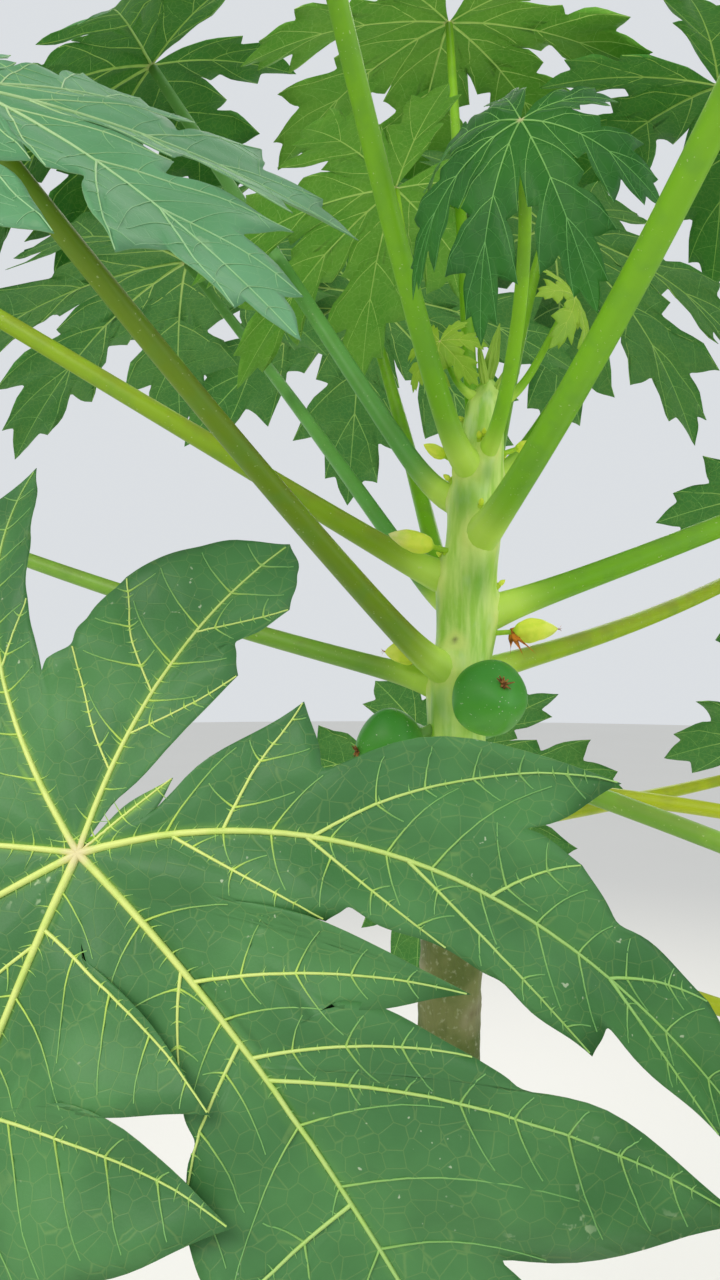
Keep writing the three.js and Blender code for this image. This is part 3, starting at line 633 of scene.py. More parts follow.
def addTrunk():
    heights = trunkHeights()
    turn = around(trunkLook["sides"])
    z = heights[:, None] + 0 * turn
    axis = np.array([trunkAt(h) for h in heights])
    middle = np.column_stack([axis[:, :2], heights])
    flare = trunkLook["flare"]
    core = axis[:, 2:] * (1 + flare["depth"] * np.exp(-z / flare["fade"]) * np.cos(flare["folds"] * turn))
    skin = ringed(middle, core, core)
    swell, collar, shade = np.max([leafCollar(leaf, z, turn, core, skin) for leaf in leaves], axis=0)
    swell *= np.clip((trunkStations[-1][0] - z) / 60, 0.15, 1)
    scar, pit, rise = leafScars(z, turn, core)
    rough = np.clip((trunkLook["bark"]["top"] - z) / trunkLook["bark"]["over"], 0, 1)
    facets = trunkLook["facets"]
    wave = np.cos(facets["count"] * turn + facets["twist"] * z)
    radius = core + swell + rise + facets["depth"] * wave * (1 - rough)
    dome = np.clip((z - trunkLook["dome"]) / (heights[-1] + trunkLook["cap"] - trunkLook["dome"]), 0, 1)
    radius *= np.sqrt(1 - dome ** 2)
    fallen = trunkLook["fallen"]
    across = sidestep(turn, fallen["bearing"]) * core
    up = z - fallen["height"]
    mark = shield(across, up, fallen["wide"], fallen["tall"], fallen["droop"])
    collar = np.maximum(collar, 1.2 * np.clip(1.5 - mark, 0, 1))
    pit = np.maximum(pit, bell(np.hypot(across, up) / fallen["dot"]))
    ways, dents, knobs = direction(0 * turn, turn), trunkLook["dents"], trunkLook["knobs"]
    for (row, column), height in np.ndenumerate(z):
        x, y, _ = ways[column]
        dent, knob = [
            noise.noise(Vector((x * look["near"], y * look["near"], height * look["up"])))
            for look in (dents, knobs)
        ]
        share = rough[row, column]
        radius[row, column] += dent * (dents["depth"] + dents["onBark"] * share) + knob * knobs["depth"] * share
    marks = dict(collar=collar, shade=shade, scar=scar, pit=pit)
    ends = (middle[0], middle[-1] + [0, 0, 1.5])
    asPiece(sleeve("trunk_skin", ringed(middle, radius, radius), marks, trunkFinish(), ends), "bark", "trunk")


def sidestep(turn, degrees):
    # How far each bearing is from the given one, in radians from -pi to pi.
    return np.mod(turn - math.radians(degrees) + math.pi, 2 * math.pi) - math.pi


def leafCollar(leaf, z, turn, core, skin):
    # The stem swells smoothly up to each stalk's foot, and two low ridges run down from it; painted shade darkens the
    # hollow below the foot.
    look, girth = trunkLook["collar"], leaf["girth"]
    path = stalkPath(leaf)[0]
    known = np.arange(len(path)) * leaf["stalk"] / stalkShape["steps"]
    root = between(np.arange(0, look["root"], 1.0), known, path)
    near = np.abs(z[:, 0] - leaf["height"]) < look["root"] * 2
    away = np.full(z.shape, 1e3)
    away[near] = np.linalg.norm(skin[near][:, :, None] - root, axis=-1).min(axis=-1)
    ridges, hollow = look["ridge"], look["hollow"]
    gap = np.clip(away - look["foot"] * girth, 0, None)
    drop = np.clip(leaf["height"] - z, 0, None)
    swell = look["height"] * np.exp(-gap / (look["width"] + look["spread"] * drop))
    across = np.abs(sidestep(turn, leaf["bearing"])) * core
    lower = z < leaf["height"]
    ridge = bell((across - ridges["at"] * girth) / (ridges["width"] * girth)) * lower
    ridge = ridge * np.exp(-((drop / (ridges["fall"] * girth)) ** 1.6))
    below = bell(across / (hollow["width"] * girth)) * lower
    bulge = look["bulge"] * girth * below * bell(drop / (hollow["at"] * girth))
    # painted shade: darkest a little below the stalk's foot, where the stalk's shadow falls on the stem
    dark = below * bell((drop - hollow["at"] * girth) / (hollow["tall"] * girth))
    marked = 0.9 * np.exp(-gap / (look["glow"] * girth)) + 0.3 * ridge
    return np.maximum(swell, bulge) + ridges["height"] * girth * ridge, marked, dark


def shield(across, up, wide, tall, droop):
    # 1 on the rim of a mark that hangs to a point, and less inside it.
    return np.hypot(across / wide, (up + droop * np.abs(across)) / tall)


def leafScars(z, turn, core):
    # Where old leaves fell: a raised rim round a shield, with a few dots in it.
    look = trunkLook["scar"]
    scar, pit, rise = 0 * z, 0 * z, 0 * z
    height, count = look["top"], 0
    while height > look["least"]:
        age = (look["top"] - height) / look["top"]
        fade = 1 - look["age"] * age
        wide, tall = [look[key] * (1 + more * age) for key, more in zip(("width", "height"), look["growth"])]
        across = sidestep(turn, look["turn"] * count) * core
        up = z - height
        mark = shield(across, up, wide, tall, look["droop"])
        rim = bell((mark - 1) / look["rim"][1])
        inside = np.clip(1.15 - mark, 0, 1)
        rise += (look["rim"][0] * rim - look["hollow"] * inside + look["ring"][0] * bell(up / look["ring"][1])) * fade
        scar = np.maximum(scar, (0.5 * rim + 0.8 * np.clip(inside * 3, 0, 1)) * fade)
        for dot in look["dots"]:
            pit = np.maximum(pit, bell(np.hypot(across - dot * wide, up + 0.15 * tall) / look["dot"]) * fade)
        height -= look["gap"] * (1 + 0.3 * chance(count, 5))
        count += 1
    return scar, pit, rise


# Leaf stalks

stalkLook = dict(
    slim=0.9, wide=0.3, tall=0.45,  # beside the plain stalk: its girth, and how much its foot flares
    flare=1.3, pale=1.5,  # how far the flare and the pale foot reach, in girths
    crowd=1.6,  # how much closer its rings stand by the foot
)


def stalkPath(leaf):
    # Points along the stalk's middle, with the angle and the bearing there.
    steps, lift = stalkShape["steps"], stalkShape["lift"]
    x, y, radius = trunkAt(leaf["height"])
    share = np.append(0, (np.arange(steps) + 0.5) / steps)
    straight = leaf["rise"] + (leaf["level"] - leaf["rise"]) * share
    rise = np.radians(straight - (straight - lift) * np.exp(-share * leaf["stalk"] / stalkShape["knee"]))
    bearing = np.radians(leaf["bearing"] + leaf["swing"] * share)
    start = np.array([x, y, leaf["height"]]) + radius * direction(0, bearing[0])
    ways = direction(rise, bearing) * leaf["stalk"] / steps
    return np.cumsum(np.concatenate([[start], ways[1:]]), axis=0), rise, bearing


def stalkSkin(name, leaf, finish):
    path, rises, bearings = stalkPath(leaf)
    length, girth = leaf["stalk"], leaf["girth"]
    sink, share = stalkShape["sink"], np.linspace(0, 1, stalkShape["rings"])
    at = -sink + (length + sink) * share ** stalkLook["crowd"]
    known = np.linspace(0, length, len(path))
    rise, bearing = np.interp(at, known, rises), np.interp(at, known, bearings)
    along, side = direction(rise, bearing), sideways(bearing)
    middle = between(at, known, path) + along * np.minimum(at, 0)[:, None]
    out = np.clip(at, 0, None)[:, None]
    turn = around(stalkShape["sides"])
    share = out / length + 0 * turn
    radius = stalkLook["slim"] * girth / 2 * (1 - (1 - stalkShape["taper"]) * share)
    flare = np.exp(-out / (stalkLook["flare"] * girth))
    wide, tall = [radius * (1 + stalkLook[key] * flare) for key in ("wide", "tall")]
    marks = dict(
        along=share,
        upward=np.clip(np.sin(turn) * 1.4 + 0.2, 0, 1) + 0 * share,
        foot=np.clip(1.3 * bell(out / (stalkLook["pale"] * girth)), 0, 1) + 0 * share,
    )
    points = ringed(middle, wide, tall, side, np.cross(along, side))
    return sleeve(name, points, marks, finish, (middle[0], middle[-1] + along[-1] * 0.6))


def addStalks():
    finishes = {name: stemFinish(tone, name) for name, tone in stemTones.items()}
    for i, leaf in enumerate(leaves):
        made = stalkSkin(f"leaf_stalk_{i + 1:02d}", leaf, finishes[leaf["stem"]])
        asPiece(made, "green_stalk", f"stalk_{i + 1:02d}")


# Leaf blades: a flat rosette of lobes is drawn in shares of the leaf's span, then hung in place.


def bladeFrame(leaf):
    heading, pitch, roll = [math.radians(leaf[key]) for key in ("heading", "pitch", "roll")]
    outward, level = direction(-pitch, heading), sideways(heading)
    side = level * math.cos(roll) + np.cross(outward, level) * math.sin(roll)
    face = np.cross(outward, side)
    path = stalkPath(leaf)[0]
    rim = leaf["girth"] / 2 * stalkShape["taper"]
    tilt = math.sqrt(max(0, 1 - unit(path[-1] - path[-2]).dot(face) ** 2))
    lift = leaf["span"] * bladeForm["thickness"] / 2 + clearance + 0.9 * rim * tilt
    return outward, side, face, path[-1] + face * lift


def hang(leaf, flat, above):
    # Puts flat points, in shares of the span, on the curled and hanging leaf, in millimetres.
    outward, side, face, middle = bladeFrame(leaf)
    span, curl, start = leaf["span"], math.radians(leaf["cup"]), math.radians(bladeForm["lift"])
    reach = np.hypot(flat[..., 0], flat[..., 1])
    turn = np.arctan2(flat[..., 1], flat[..., 0])
    out = span * (math.sin(start) - np.sin(start - curl * reach)) / curl
    high = span * (np.cos(start - curl * reach) - math.cos(start)) / curl + above
    points = middle + (out * np.cos(turn))[..., None] * outward + (out * np.sin(turn))[..., None] * side
    points += high[..., None] * face
    points[..., 2] -= leaf["sag"] * span * reach ** 2
    return points


def leafLobes(leaf, seed):
    if leaf["blade"] == "near":
        keys = ("turn", "length", "bow", "last", "right", "left")
        made = [dict(zip(keys, row)) for row in wideLobes]
        notches = wideNotches
    else:
        made, vary = [], bladeForm["vary"]
        for i, (angle, length, kind) in enumerate(lobes):
            right, left = [
                [
                    (branch, (tip[0], tip[1] * (1 + sway(vary["tip"], seed + i, hand * 3 + k + 9))), bay)
                    for k, (branch, tip, bay) in enumerate(lobeForms[kind]["sides"])
                ]
                for hand in (-1, 1)
            ]
            angle += sway(vary["turn"], seed, i)
            length *= 1 + sway(vary["length"], seed, i + 20)
            made.append(dict(turn=angle, length=length, bow=0, last=lobeForms[kind]["last"], right=right, left=left))
        away, reach = bladeForm["backNotch"]
        middles = [
            ((a["turn"] + b["turn"]) / 2, bladeForm["notch"] * (a["length"] + b["length"]) / 2)
            for a, b in zip(made, made[1:])
        ]
        notches = [(made[0]["turn"] - away, reach), *middles, (made[-1]["turn"] + away, reach)]
    for i, lobe in enumerate(made):
        lobe["turn"] = math.radians(lobe["turn"])
        lobe["halves"] = [halfLobe(lobe, notches[i], "right"), halfLobe(lobe, notches[i + 1], "left")]
    return made


def bowAt(lobe, along):
    # How far a lobe's rib stands beside its straight line.
    return 4 * lobe["bow"] * along * (1 - along)


def arc(a, b, bulge, towardsTip, count):
    # A bowed line that leaves out its last point: full by the bay and slightly hollow by the tip.
    t = np.arange(count)[:, None] / count
    run = t if towardsTip else 1 - t
    chord = b - a
    outward = np.array([-chord[1], chord[0]])
    return a + chord * t + outward * bulge * np.sin(math.pi * run) * (1.3 - 1.4 * run)


def halfLobe(lobe, notch, name):
    # The margin on one side of a rib, along it and out from it, with the spot on the rib for each point.
    hand = -1 if name == "right" else 1
    away = math.radians(notch[0]) - lobe["turn"]
    along, left = math.cos(away) * notch[1] / lobe["length"], math.sin(away) * notch[1] / lobe["length"]
    branches = [(a[0] + b[0]) / 2 for a, b in zip(lobe["right"], lobe["left"])] + [lobe["last"]]
    corners, spots = [(along, hand * (left - bowAt(lobe, along)))], [0.0]
    for k, (_, tip, bay) in enumerate(lobe[name]):
        corners += [tip, bay]
        spots += [branches[k], (branches[k] + branches[k + 1]) / 2]
    corners = [np.array(corner, float) for corner in corners + [(1, 0)]]
    tips = [(branch, np.array(tip)) for branch, tip, _ in lobe[name]]
    return dict(hand=hand, spots=spots + [1.0], corners=corners, tips=tips)


def margin(half, per):
    # The points of a half lobe's margin, and the spot on its rib that belongs to each.
    edge, rib, soft = [], [], []
    corners, spots, bulges = half["corners"], half["spots"], bladeForm["bulge"]
    for k in range(len(corners) - 1):
        towardsTip = k % 2 == 0
        bulge = bulges["bay" if not towardsTip else "tip" if k else "first"]
        edge.append(arc(corners[k], corners[k + 1], bulge, towardsTip, per))
        rib.append(spots[k] + (spots[k + 1] - spots[k]) * np.arange(per) / per)
        sharp = not towardsTip and corners[k + 1][1] < bladeForm["hook"] * corners[k][1]
        soft += [0.0 if sharp else 0.5] + [0.5] * (per - 1)
    edge = np.concatenate(edge + [corners[-1][None]])
    rib = np.concatenate(rib + [[1.0]])
    soft = np.array(soft + [0.0])[:, None]
    for _ in range(per // 3):
        edge[1:-1] += soft[1:-1] * ((edge[:-2] + edge[2:]) / 2 - edge[1:-1])
    return edge, uncrossed(edge, rib)


def uncrossed(edge, rib):
    # Moves the spots on the rib so that no line from one to its point on the margin crosses the next.
    run = edge[1:] - edge[:-1]
    steep = np.where(np.abs(run[:, 1]) < 1e-6, 1e-6, run[:, 1])
    meets = edge[:-1, 0] - edge[:-1, 1] * run[:, 0] / steep
    low = np.where(steep > 0, meets, 0)
    high = np.where(steep < 0, meets, 1)
    low = np.clip(np.maximum(np.append(low, 0), np.append(0, low)) + 0.004, 0, 1)
    high = np.clip(np.minimum(np.append(high, 1), np.append(1, high)) - 0.004, 0, 1)
    low = np.maximum.accumulate(low)
    high = np.minimum.accumulate(high[::-1])[::-1]
    moved = np.maximum.accumulate(np.minimum(np.maximum(rib, low), np.maximum(high, low)))
    moved[0], moved[-1] = 0, 1
    return moved


def spun(points, angle):
    x, y, cos, sin = points[..., 0], points[..., 1], math.cos(angle), math.sin(angle)
    return np.stack([x * cos - y * sin, x * sin + y * cos], axis=-1)


def toLeaf(lobe, hand, points):
    # From a half lobe's own spots, along its rib and out from it, to the flat leaf.
    along = points[..., 0]
    out = points[..., 1] * hand + bowAt(lobe, along)
    return lobe["length"] * spun(np.stack([along, out], axis=-1), lobe["turn"])


def bend(a, b, bow, count):
    # A vein from a to b that starts off steeper than it ends.
    t = np.linspace(0, 1, count)[:, None]
    chord = b - a
    knee = a + chord * 0.5 + np.array([-chord[1], chord[0]]) * bow
    return a * (1 - t) ** 2 + 2 * knee * t * (1 - t) + b * t ** 2


def room(start, way, borders):
    # How far a line can run before it meets a border.
    a, b = borders[:, 0], borders[:, 1]
    edge = b - a
    bar = way[0] * edge[:, 1] - way[1] * edge[:, 0]
    bar = np.where(np.abs(bar) < 1e-9, 1e-9, bar)
    gap = a - start
    t = (gap[:, 0] * edge[:, 1] - gap[:, 1] * edge[:, 0]) / bar
    s = (gap[:, 0] * way[1] - gap[:, 1] * way[0]) / bar
    met = t[(t > 0.004) & (s > -0.01) & (s < 1.01)]
    return met.min() if len(met) else 0


def bordersOf(line):
    return np.stack([line[:-1], line[1:]], axis=1)


def turned(way, degrees):
    return spun(np.array(way), math.radians(degrees))


def leafVeins(made, detail, thorny, seed):
    # Each vein: its points on the flat leaf, its half width at its foot in shares of the span, its rank and how
    # far its points are from the lobe's rib.
    veins = []
    for i, lobe in enumerate(made):
        length, counts = lobe["length"], detail["points"]
        axis = np.stack([np.linspace(0, 0.985, counts[0]), np.zeros(counts[0])], axis=-1)
        for half in lobe["halves"]:
            edge, _ = margin(half, sideLook["per"])
            gap = detail["gap"] / length
            inner = [sideVein(half, k, counts[1]) for k in range(len(half["tips"]))]
            fine = ribBranches(edge, inner, half, gap, counts[2], seed + i)
            sideBranches(edge, inner, fine, gap, counts[2], seed + i)
            short = thorns(inner, length, counts[3], seed + i) if thorny else []
            ranks = [[axis] if half["hand"] < 0 else [], inner, fine, short]
            for rank, lines in enumerate(ranks):
                thick = veinRanks[rank]["thick"] * length ** veinRanks[rank]["power"]
                veins += [(toLeaf(lobe, half["hand"], line), thick, rank, line[:, 1] * length) for line in lines]
    return veins


sideLook = dict(per=8, short=0.015, bows=(0.07, 0.04, 0.01, -0.03))  # short: how far before the tip it ends


def sideVein(half, k, count):
    # From the rib to a side lobe's tip, bowed as far as the margin leaves room.
    per, short = sideLook["per"], sideLook["short"]
    edge, rib = margin(half, per)
    branch, tip = half["tips"][k]
    start = np.array([max(branch, rib[2 * k * per] + 0.01), 0.0])
    outline = np.concatenate([edge, [[0.0, 0.0]]])
    for bow in sideLook["bows"]:
        line = bend(start, tip * (1 - short) + start * short, bow, count)
        if within(line[1:-1] + [0, 1e-4], outline).all():
            break
    return line


def within(points, outline):
    # Which points lie inside a closed outline.
    a, b = outline, np.roll(outline, -1, axis=0)
    x, y = points[:, :1], points[:, 1:]
    crossed = (a[:, 1] > y) != (b[:, 1] > y)
    rise = np.where(np.abs(b[:, 1] - a[:, 1]) < 1e-9, 1e-9, b[:, 1] - a[:, 1])
    meets = a[:, 0] + (y - a[:, 1]) * (b[:, 0] - a[:, 0]) / rise
    return (crossed & (x < meets)).sum(axis=1) % 2 == 1


fineLook = dict(
    # first and last: where they start along their rib or side vein. lean and sway: their angle from it.
    # room: how much of the way to the next border they fill. most and least: their length.
    rib=dict(first=0.05, last=0.94, lean=60, sway=8, room=0.86, most=0.3, apart=0.3),
    side=dict(first=0.16, last=0.92, lean=56, sway=10, room=0.84, most=0.16), least=0.016, bow=0.1,
)


def grown(lines, borders, start, way, side, kind, count):
    # Adds a fine vein that ends before the borders, and is one itself from then on.
    size = min(room(start, way, borders) * fineLook[kind]["room"], fineLook[kind]["most"])
    if size <= fineLook["least"]:
        return borders
    lines.append(bend(start, start + way * size, fineLook["bow"] * side, count))
    return np.concatenate([borders, bordersOf(lines[-1])])


def ribBranches(edge, inner, half, gap, count, seed):
    borders = np.concatenate([bordersOf(line) for line in [edge] + inner])
    look, lines = fineLook["rib"], []
    spot = look["first"]
    while spot < look["last"]:
        near = min((abs(spot - branch) for branch, _ in half["tips"]), default=1)
        if near > look["apart"] * gap:
            way = turned((1, 0), look["lean"] + sway(look["sway"], seed, spot * 40))
            borders = grown(lines, borders, np.array([spot, 0.0]), way, 1, "rib", count)
        spot += gap * (0.85 + 0.3 * chance(seed, spot * 90 + 3))
    return lines


thornLook = dict(rib=0.024, fade=0.35, side=0.008, gap=0.016, vary=0.014, lean=58, sway=24)


def thorns(inner, length, count, seed):
    # Short pointed roots of the finest veins, close together and longer near the leaf's middle.
    look = thornLook
    lines = []
    for k, line in enumerate([wholeRib] + inner):
        steps = line[1:] - line[:-1]
        known = np.append(0, np.cumsum(np.hypot(steps[:, 0], steps[:, 1])))
        at = 0.02 + 0.01 * chance(seed, k)
        while at < known[-1] * 0.9:
            spot = between(at, known, line)
            way = unit(steps[min(int(np.searchsorted(known, at)), len(steps)) - 1])
            size = look["side"] if k else look["rib"] * math.exp(-at * length / look["fade"])
            size *= (0.5 + chance(seed + k, at * 60)) / length
            for side in (1, -1) if k else (1,):
                leaving = turned(way, side * (look["lean"] + look["sway"] * chance(seed + k, at * 90 + side)))
                lines.append(bend(spot, spot + leaving * size, 0.1 * side, count))
            at += (look["gap"] + look["vary"] * chance(seed + k, at * 50)) / length
    return lines


def sideBranches(edge, inner, lines, gap, count, seed):
    look = fineLook["side"]
    for k, line in enumerate(inner):
        others = [other for j, other in enumerate(inner) if j != k]
        borders = np.concatenate([bordersOf(one) for one in [edge, wholeRib] + others + lines])
        share = look["first"] + 0.05 * chance(seed, k)
        while share < look["last"]:
            at = share * (len(line) - 1)
            step = line[int(at) + 1] - line[int(at)]
            start = line[int(at)] + step * (at - int(at))
            for side in (-1, 1):
                way = turned(unit(step), side * (look["lean"] + sway(look["sway"], seed + k, share * 70)))
                borders = grown(lines, borders, start, way, side, "side", count)
            share += gap / np.linalg.norm(line[-1] - line[0])


def nearness(flat, veins, width):
    # How close each point is to a vein, from 0 to 1, wider along the thick ones.
    close = np.zeros(len(flat))
    for line, _, rank, _ in veins:
        reach = width * veinRanks[rank]["reach"]
        low, high = line.min(axis=0) - 3 * reach, line.max(axis=0) + 3 * reach
        inside = np.all((flat > low) & (flat < high), axis=1)
        if not inside.any():
            continue
        spots = flat[inside]
        a, edge = line[:-1], line[1:] - line[:-1]
        along = ((spots[:, None] - a) * edge).sum(axis=-1) / (edge ** 2).sum(axis=-1)
        away = spots[:, None] - a - np.clip(along, 0, 1)[..., None] * edge
        gap = np.sqrt((away ** 2).sum(axis=-1)).min(axis=1)
        close[inside] = np.maximum(close[inside], veinRanks[rank]["depth"] * bell(gap / reach))
    return close


def relief(leaf, flat, fold, close, seed):
    # How high the blade stands over the plain curled sheet, in millimetres.
    span = leaf["span"]
    crease = bladeForm["crease"]
    high = bladeForm["fold"] * (np.sqrt(fold ** 2 + crease ** 2) - crease)
    x, y = flat[..., 0], flat[..., 1]
    phase, look = 6.28 * chance(seed, 3), bladeDetail["ripple"]
    wave = np.sin(look["along"] * x + phase) * np.cos(look["across"] * y - phase)
    wave = wave + look["share"] * np.sin(look["fine"] * (x - y) + 2 * phase)
    deep = bladeTones[leaf["blade"]]["quilt"]
    high = high + look["height"] * deep * wave * np.clip(fold / look["full"], 0, 1)
    high = high - bladeDetail["quilt"] * deep * close
    return high * span


def bladeSheet(leaf, made, veins, detail, seed):
    # One grid for each half lobe, joined along the ribs and the lines to the notches.
    shape = bmesh.new()
    nerveLayer, farLayer = [shape.verts.layers.float.new(name) for name in ("nerve", "far")]
    v = np.linspace(0, 1, detail["across"] + 1) ** bladeDetail["crowd"]
    flats, folds, owners = [], [], []
    for lobe in made:
        for half in lobe["halves"]:
            edge, rib = margin(half, detail["per"])
            spine = np.stack([rib, 0 * rib], axis=-1)
            local = spine[:, None] + (edge - spine)[:, None] * v[None, :, None]
            sizes = np.array([len(rib) - 1, detail["across"]])
            grid = bmesh.ops.create_grid(shape, x_segments=int(sizes[0]), y_segments=int(sizes[1]), size=0.5)
            order = np.array([(vert.co.x + 0.5, vert.co.y + 0.5) for vert in grid["verts"]]) * sizes
            rows, columns = np.rint(order).astype(int).T
            spots = local[rows, columns]
            flat = toLeaf(lobe, half["hand"], spots)
            flat[rows == 0] = toLeaf(lobe, half["hand"], edge[0]) * v[columns[rows == 0]][:, None]
            own = np.clip(rows / bladeDetail["seam"], 0, 1)
            flats.append(flat)
            folds.append(own * np.abs(spots[:, 1]) * lobe["length"] + (1 - own) * foldAt(made, flat))
            owners += grid["verts"]
    flat, fold = np.concatenate(flats), np.concatenate(folds)
    close = nearness(flat, [vein for vein in veins if vein[2] < 3], bladeDetail["quiltWidth"])
    points = hang(leaf, flat, relief(leaf, flat, fold, close, seed)) * mm
    reach = np.hypot(flat[:, 0], flat[:, 1])
    glowing = [vein for vein in veins if vein[2] == 0]
    if isThorny(leaf):
        glowing += [(line[:2], 0, 1, out) for line, _, rank, out in veins if rank == 2 and not out[0]]
    halo = nearness(flat, glowing, bladeDetail["halo"]) * np.exp(-reach / bladeDetail["haloReach"])
    for vert, point, near, far in zip(owners, points, halo, reach):
        vert.co = point
        vert[nerveLayer] = near
        vert[farLayer] = far
    bmesh.ops.remove_doubles(shape, verts=shape.verts, dist=2e-5)
    bmesh.ops.recalc_face_normals(shape, faces=shape.faces)
    face = Vector(bladeFrame(leaf)[2])
    if sum(one.normal.dot(face) * one.calc_area() for one in shape.faces) < 0:
        bmesh.ops.reverse_faces(shape, faces=shape.faces)
    return shape


def foldAt(made, flat):
    # The distance to the nearest rib.
    gaps = []
    for lobe in made:
        along, out = spun(flat, -lobe["turn"]).T / lobe["length"]
        out = np.abs(out - bowAt(lobe, along)) * lobe["length"]
        gaps.append(np.where((along > 0) & (along < 1), out, np.hypot(flat[:, 0], flat[:, 1])))
    return np.min(gaps, axis=0)


def isClose(leaf):
    # The leaves that the picture shows from above and close by.
    return leaf["blade"] in ("near", "sheen", "dark")


def isThorny(leaf):
    return bladeTones[leaf["blade"]]["specks"] > 0.3


def sheetOf(leaf):
    return bladeDetail["sheet"] * min(1, leaf["span"] / 150)


def veinTubes(leaf, sheet, veins, ranks, sides, name, finish, seed):
    # The veins as thin tapering tubes that lie in the sheet and stand out of its top, or of both its faces.
    span = leaf["span"]
    curve = bpy.data.curves.new(name, "CURVE")
    curve.dimensions = "3D"
    curve.bevel_depth = mm
    curve.bevel_resolution = sides
    curve.use_fill_caps = True
    jump = 1.5 * mm  # a finer vein ends where it would leap to the next lobe
    roots = []
    for line, thick, rank, fold in veins:
        if rank not in ranks:
            continue
        guess = hang(leaf, line, relief(leaf, line, np.abs(fold), 0.5, seed)) * mm
        t = np.linspace(0, 1, len(line))
        width = span * (thick + (veinRanks[rank]["thin"] - thick) * t ** veinRanks[rank]["taper"])
        points = []
        for at, half in zip(guess, width):
            spot, face, _, _ = sheet.find_nearest(Vector(at))
            shift = spot - Vector(at)
            if points and rank > 1 and (shift - before).length > jump:
                break
            before = shift
            points.append(spot + face * (half * 0.15 + 0.03 if isClose(leaf) else -sheetOf(leaf) / 2) * mm)
        if len(points) < 2:
            continue
        spline = curve.splines.new("POLY")
        spline.points.add(len(points) - 1)
        spline.points.foreach_set("co", np.column_stack([points, np.ones(len(points))]).ravel())
        spline.points.foreach_set("radius", width[:len(points)])
        roots.append(1 - t[:len(points)])
    drawn = placed(name, curve)
    mesh = baked(drawn)
    bpy.data.objects.remove(drawn)
    bpy.data.curves.remove(curve)
    mesh.materials.clear()
    mesh.shade_smooth()
    spots = np.empty(len(mesh.vertices) * 3)
    mesh.vertices.foreach_get("co", spots)
    root = np.concatenate([[0, 1] * len(roots)] + roots)  # the mesh holds the tubes' end caps first
    marks = dict(
        far=np.linalg.norm(spots.reshape(-1, 3) / mm - bladeFrame(leaf)[3], axis=1) / span,
        root=np.repeat(root, len(mesh.vertices) // len(root)),
    )
    for key, values in marks.items():
        mesh.attributes.new(key, "FLOAT", "POINT").data.foreach_set("value", values)
    return asObject(name, mesh, finish)


def addBlades():
    finishes = {
        name: [make(tone, name) for make in (bladeTop, bladeUnder, ribFinish, veinFinish)]
        for name, tone in bladeTones.items()
    }
    for seed, leaf in enumerate(leaves, 1):
        label = f"{seed:02d}"
        detail = bladeDetail["close" if isClose(leaf) else "away"]
        top, under, rib, vein = finishes[leaf["blade"]]
        made = leafLobes(leaf, seed)
        veins = leafVeins(made, detail, isThorny(leaf), seed)
        shape = bladeSheet(leaf, made, veins, detail, seed)
        smooth = BVHTree.FromBMesh(shape)
        sheet = asObject("leaf_" + label, asMesh("leaf_" + label, shape), top, under)
        solid = sheet.modifiers.new("solid", "SOLIDIFY")
        solid.thickness = sheetOf(leaf) * mm
        solid.offset = -1
        solid.material_offset = 1
        solid.material_offset_rim = 1
        thin, thick = sheet.data, baked(sheet)
        sheet.modifiers.clear()
        sheet.data = thick
        bpy.data.meshes.remove(thin)
        tubes = [
            veinTubes(leaf, smooth, veins, (0, 1), 1, "ribs_" + label, rib, seed),
            veinTubes(leaf, smooth, veins, (2, 3), 0, "veins_" + label, vein, seed),
        ]
        slot = "young_leaf" if leaf["blade"] == "young" else "leaf_blade"
        asPiece(joined("leaf_" + label, [sheet] + tubes), slot, "blade_" + label)


# Fruit and flower buds

fruits = [  # end: where the dry star sits, in radians from the fruit's axis and in degrees round it
    dict(height=1121, bearing=-72, rise=-8, length=45, width=43, end=(0.61, 95)),
    dict(height=1096, bearing=-160, rise=-14, length=42, width=40, end=(0.1, 40)),
    dict(height=1109, bearing=66, rise=-8, length=41, width=39, end=(0.15, 200)),
    dict(height=1082, bearing=128, rise=-12, length=46, width=44, end=(0.12, 120)),
]
buds = [
    dict(height=1203, bearing=-155, rise=12, stem=9, length=31, width=13, tip=0.45),
    dict(height=1143, bearing=-168, rise=0, stem=9, length=22, width=16, tip=0.1, petals=9),
    dict(height=1154, bearing=-8, rise=4, stem=12, length=27, width=15, tip=0.1, petals=19),
    dict(height=1256, bearing=-165, rise=25, stem=7, length=16, width=8, tip=0),
    dict(height=1262, bearing=2, rise=20, stem=7, length=13, width=7, tip=0.1),
    dict(height=1228, bearing=5, rise=35, stem=6, length=10, width=7, tip=0.2),
]
fruitLook = dict(neck=5, neckRadius=3.4, rings=40, sides=48, ribs=5, ribDepth=0.012)
starLook = dict(rays=8, turn=0.8, length=3.6, vary=3.4, flat=0.6, ends=dict(radius1=1.5, radius2=0.4))
budLook = dict(foot=1.6, petals=5, twist=1.3, pleat=0.07)


def standing(spot, foot):
    # The foot of a fruit or bud on the trunk, and its own three directions.
    x, y, radius = trunkAt(spot["height"])
    bearing, rise = math.radians(spot["bearing"]), math.radians(spot["rise"])
    along, side = direction(rise, bearing), sideways(bearing)
    skin = radius + clearance + foot * abs(math.sin(rise))
    start = np.array([x, y, spot["height"]]) + skin * direction(0, bearing)
    return start, along, side, np.cross(along, side)


def lathed(stand, up, out):
    # Rings of points along a line. out has a row of radii for each distance in up.
    start, along, side, over = stand
    return ringed(start + up[:, None] * along, out, out, side, over)


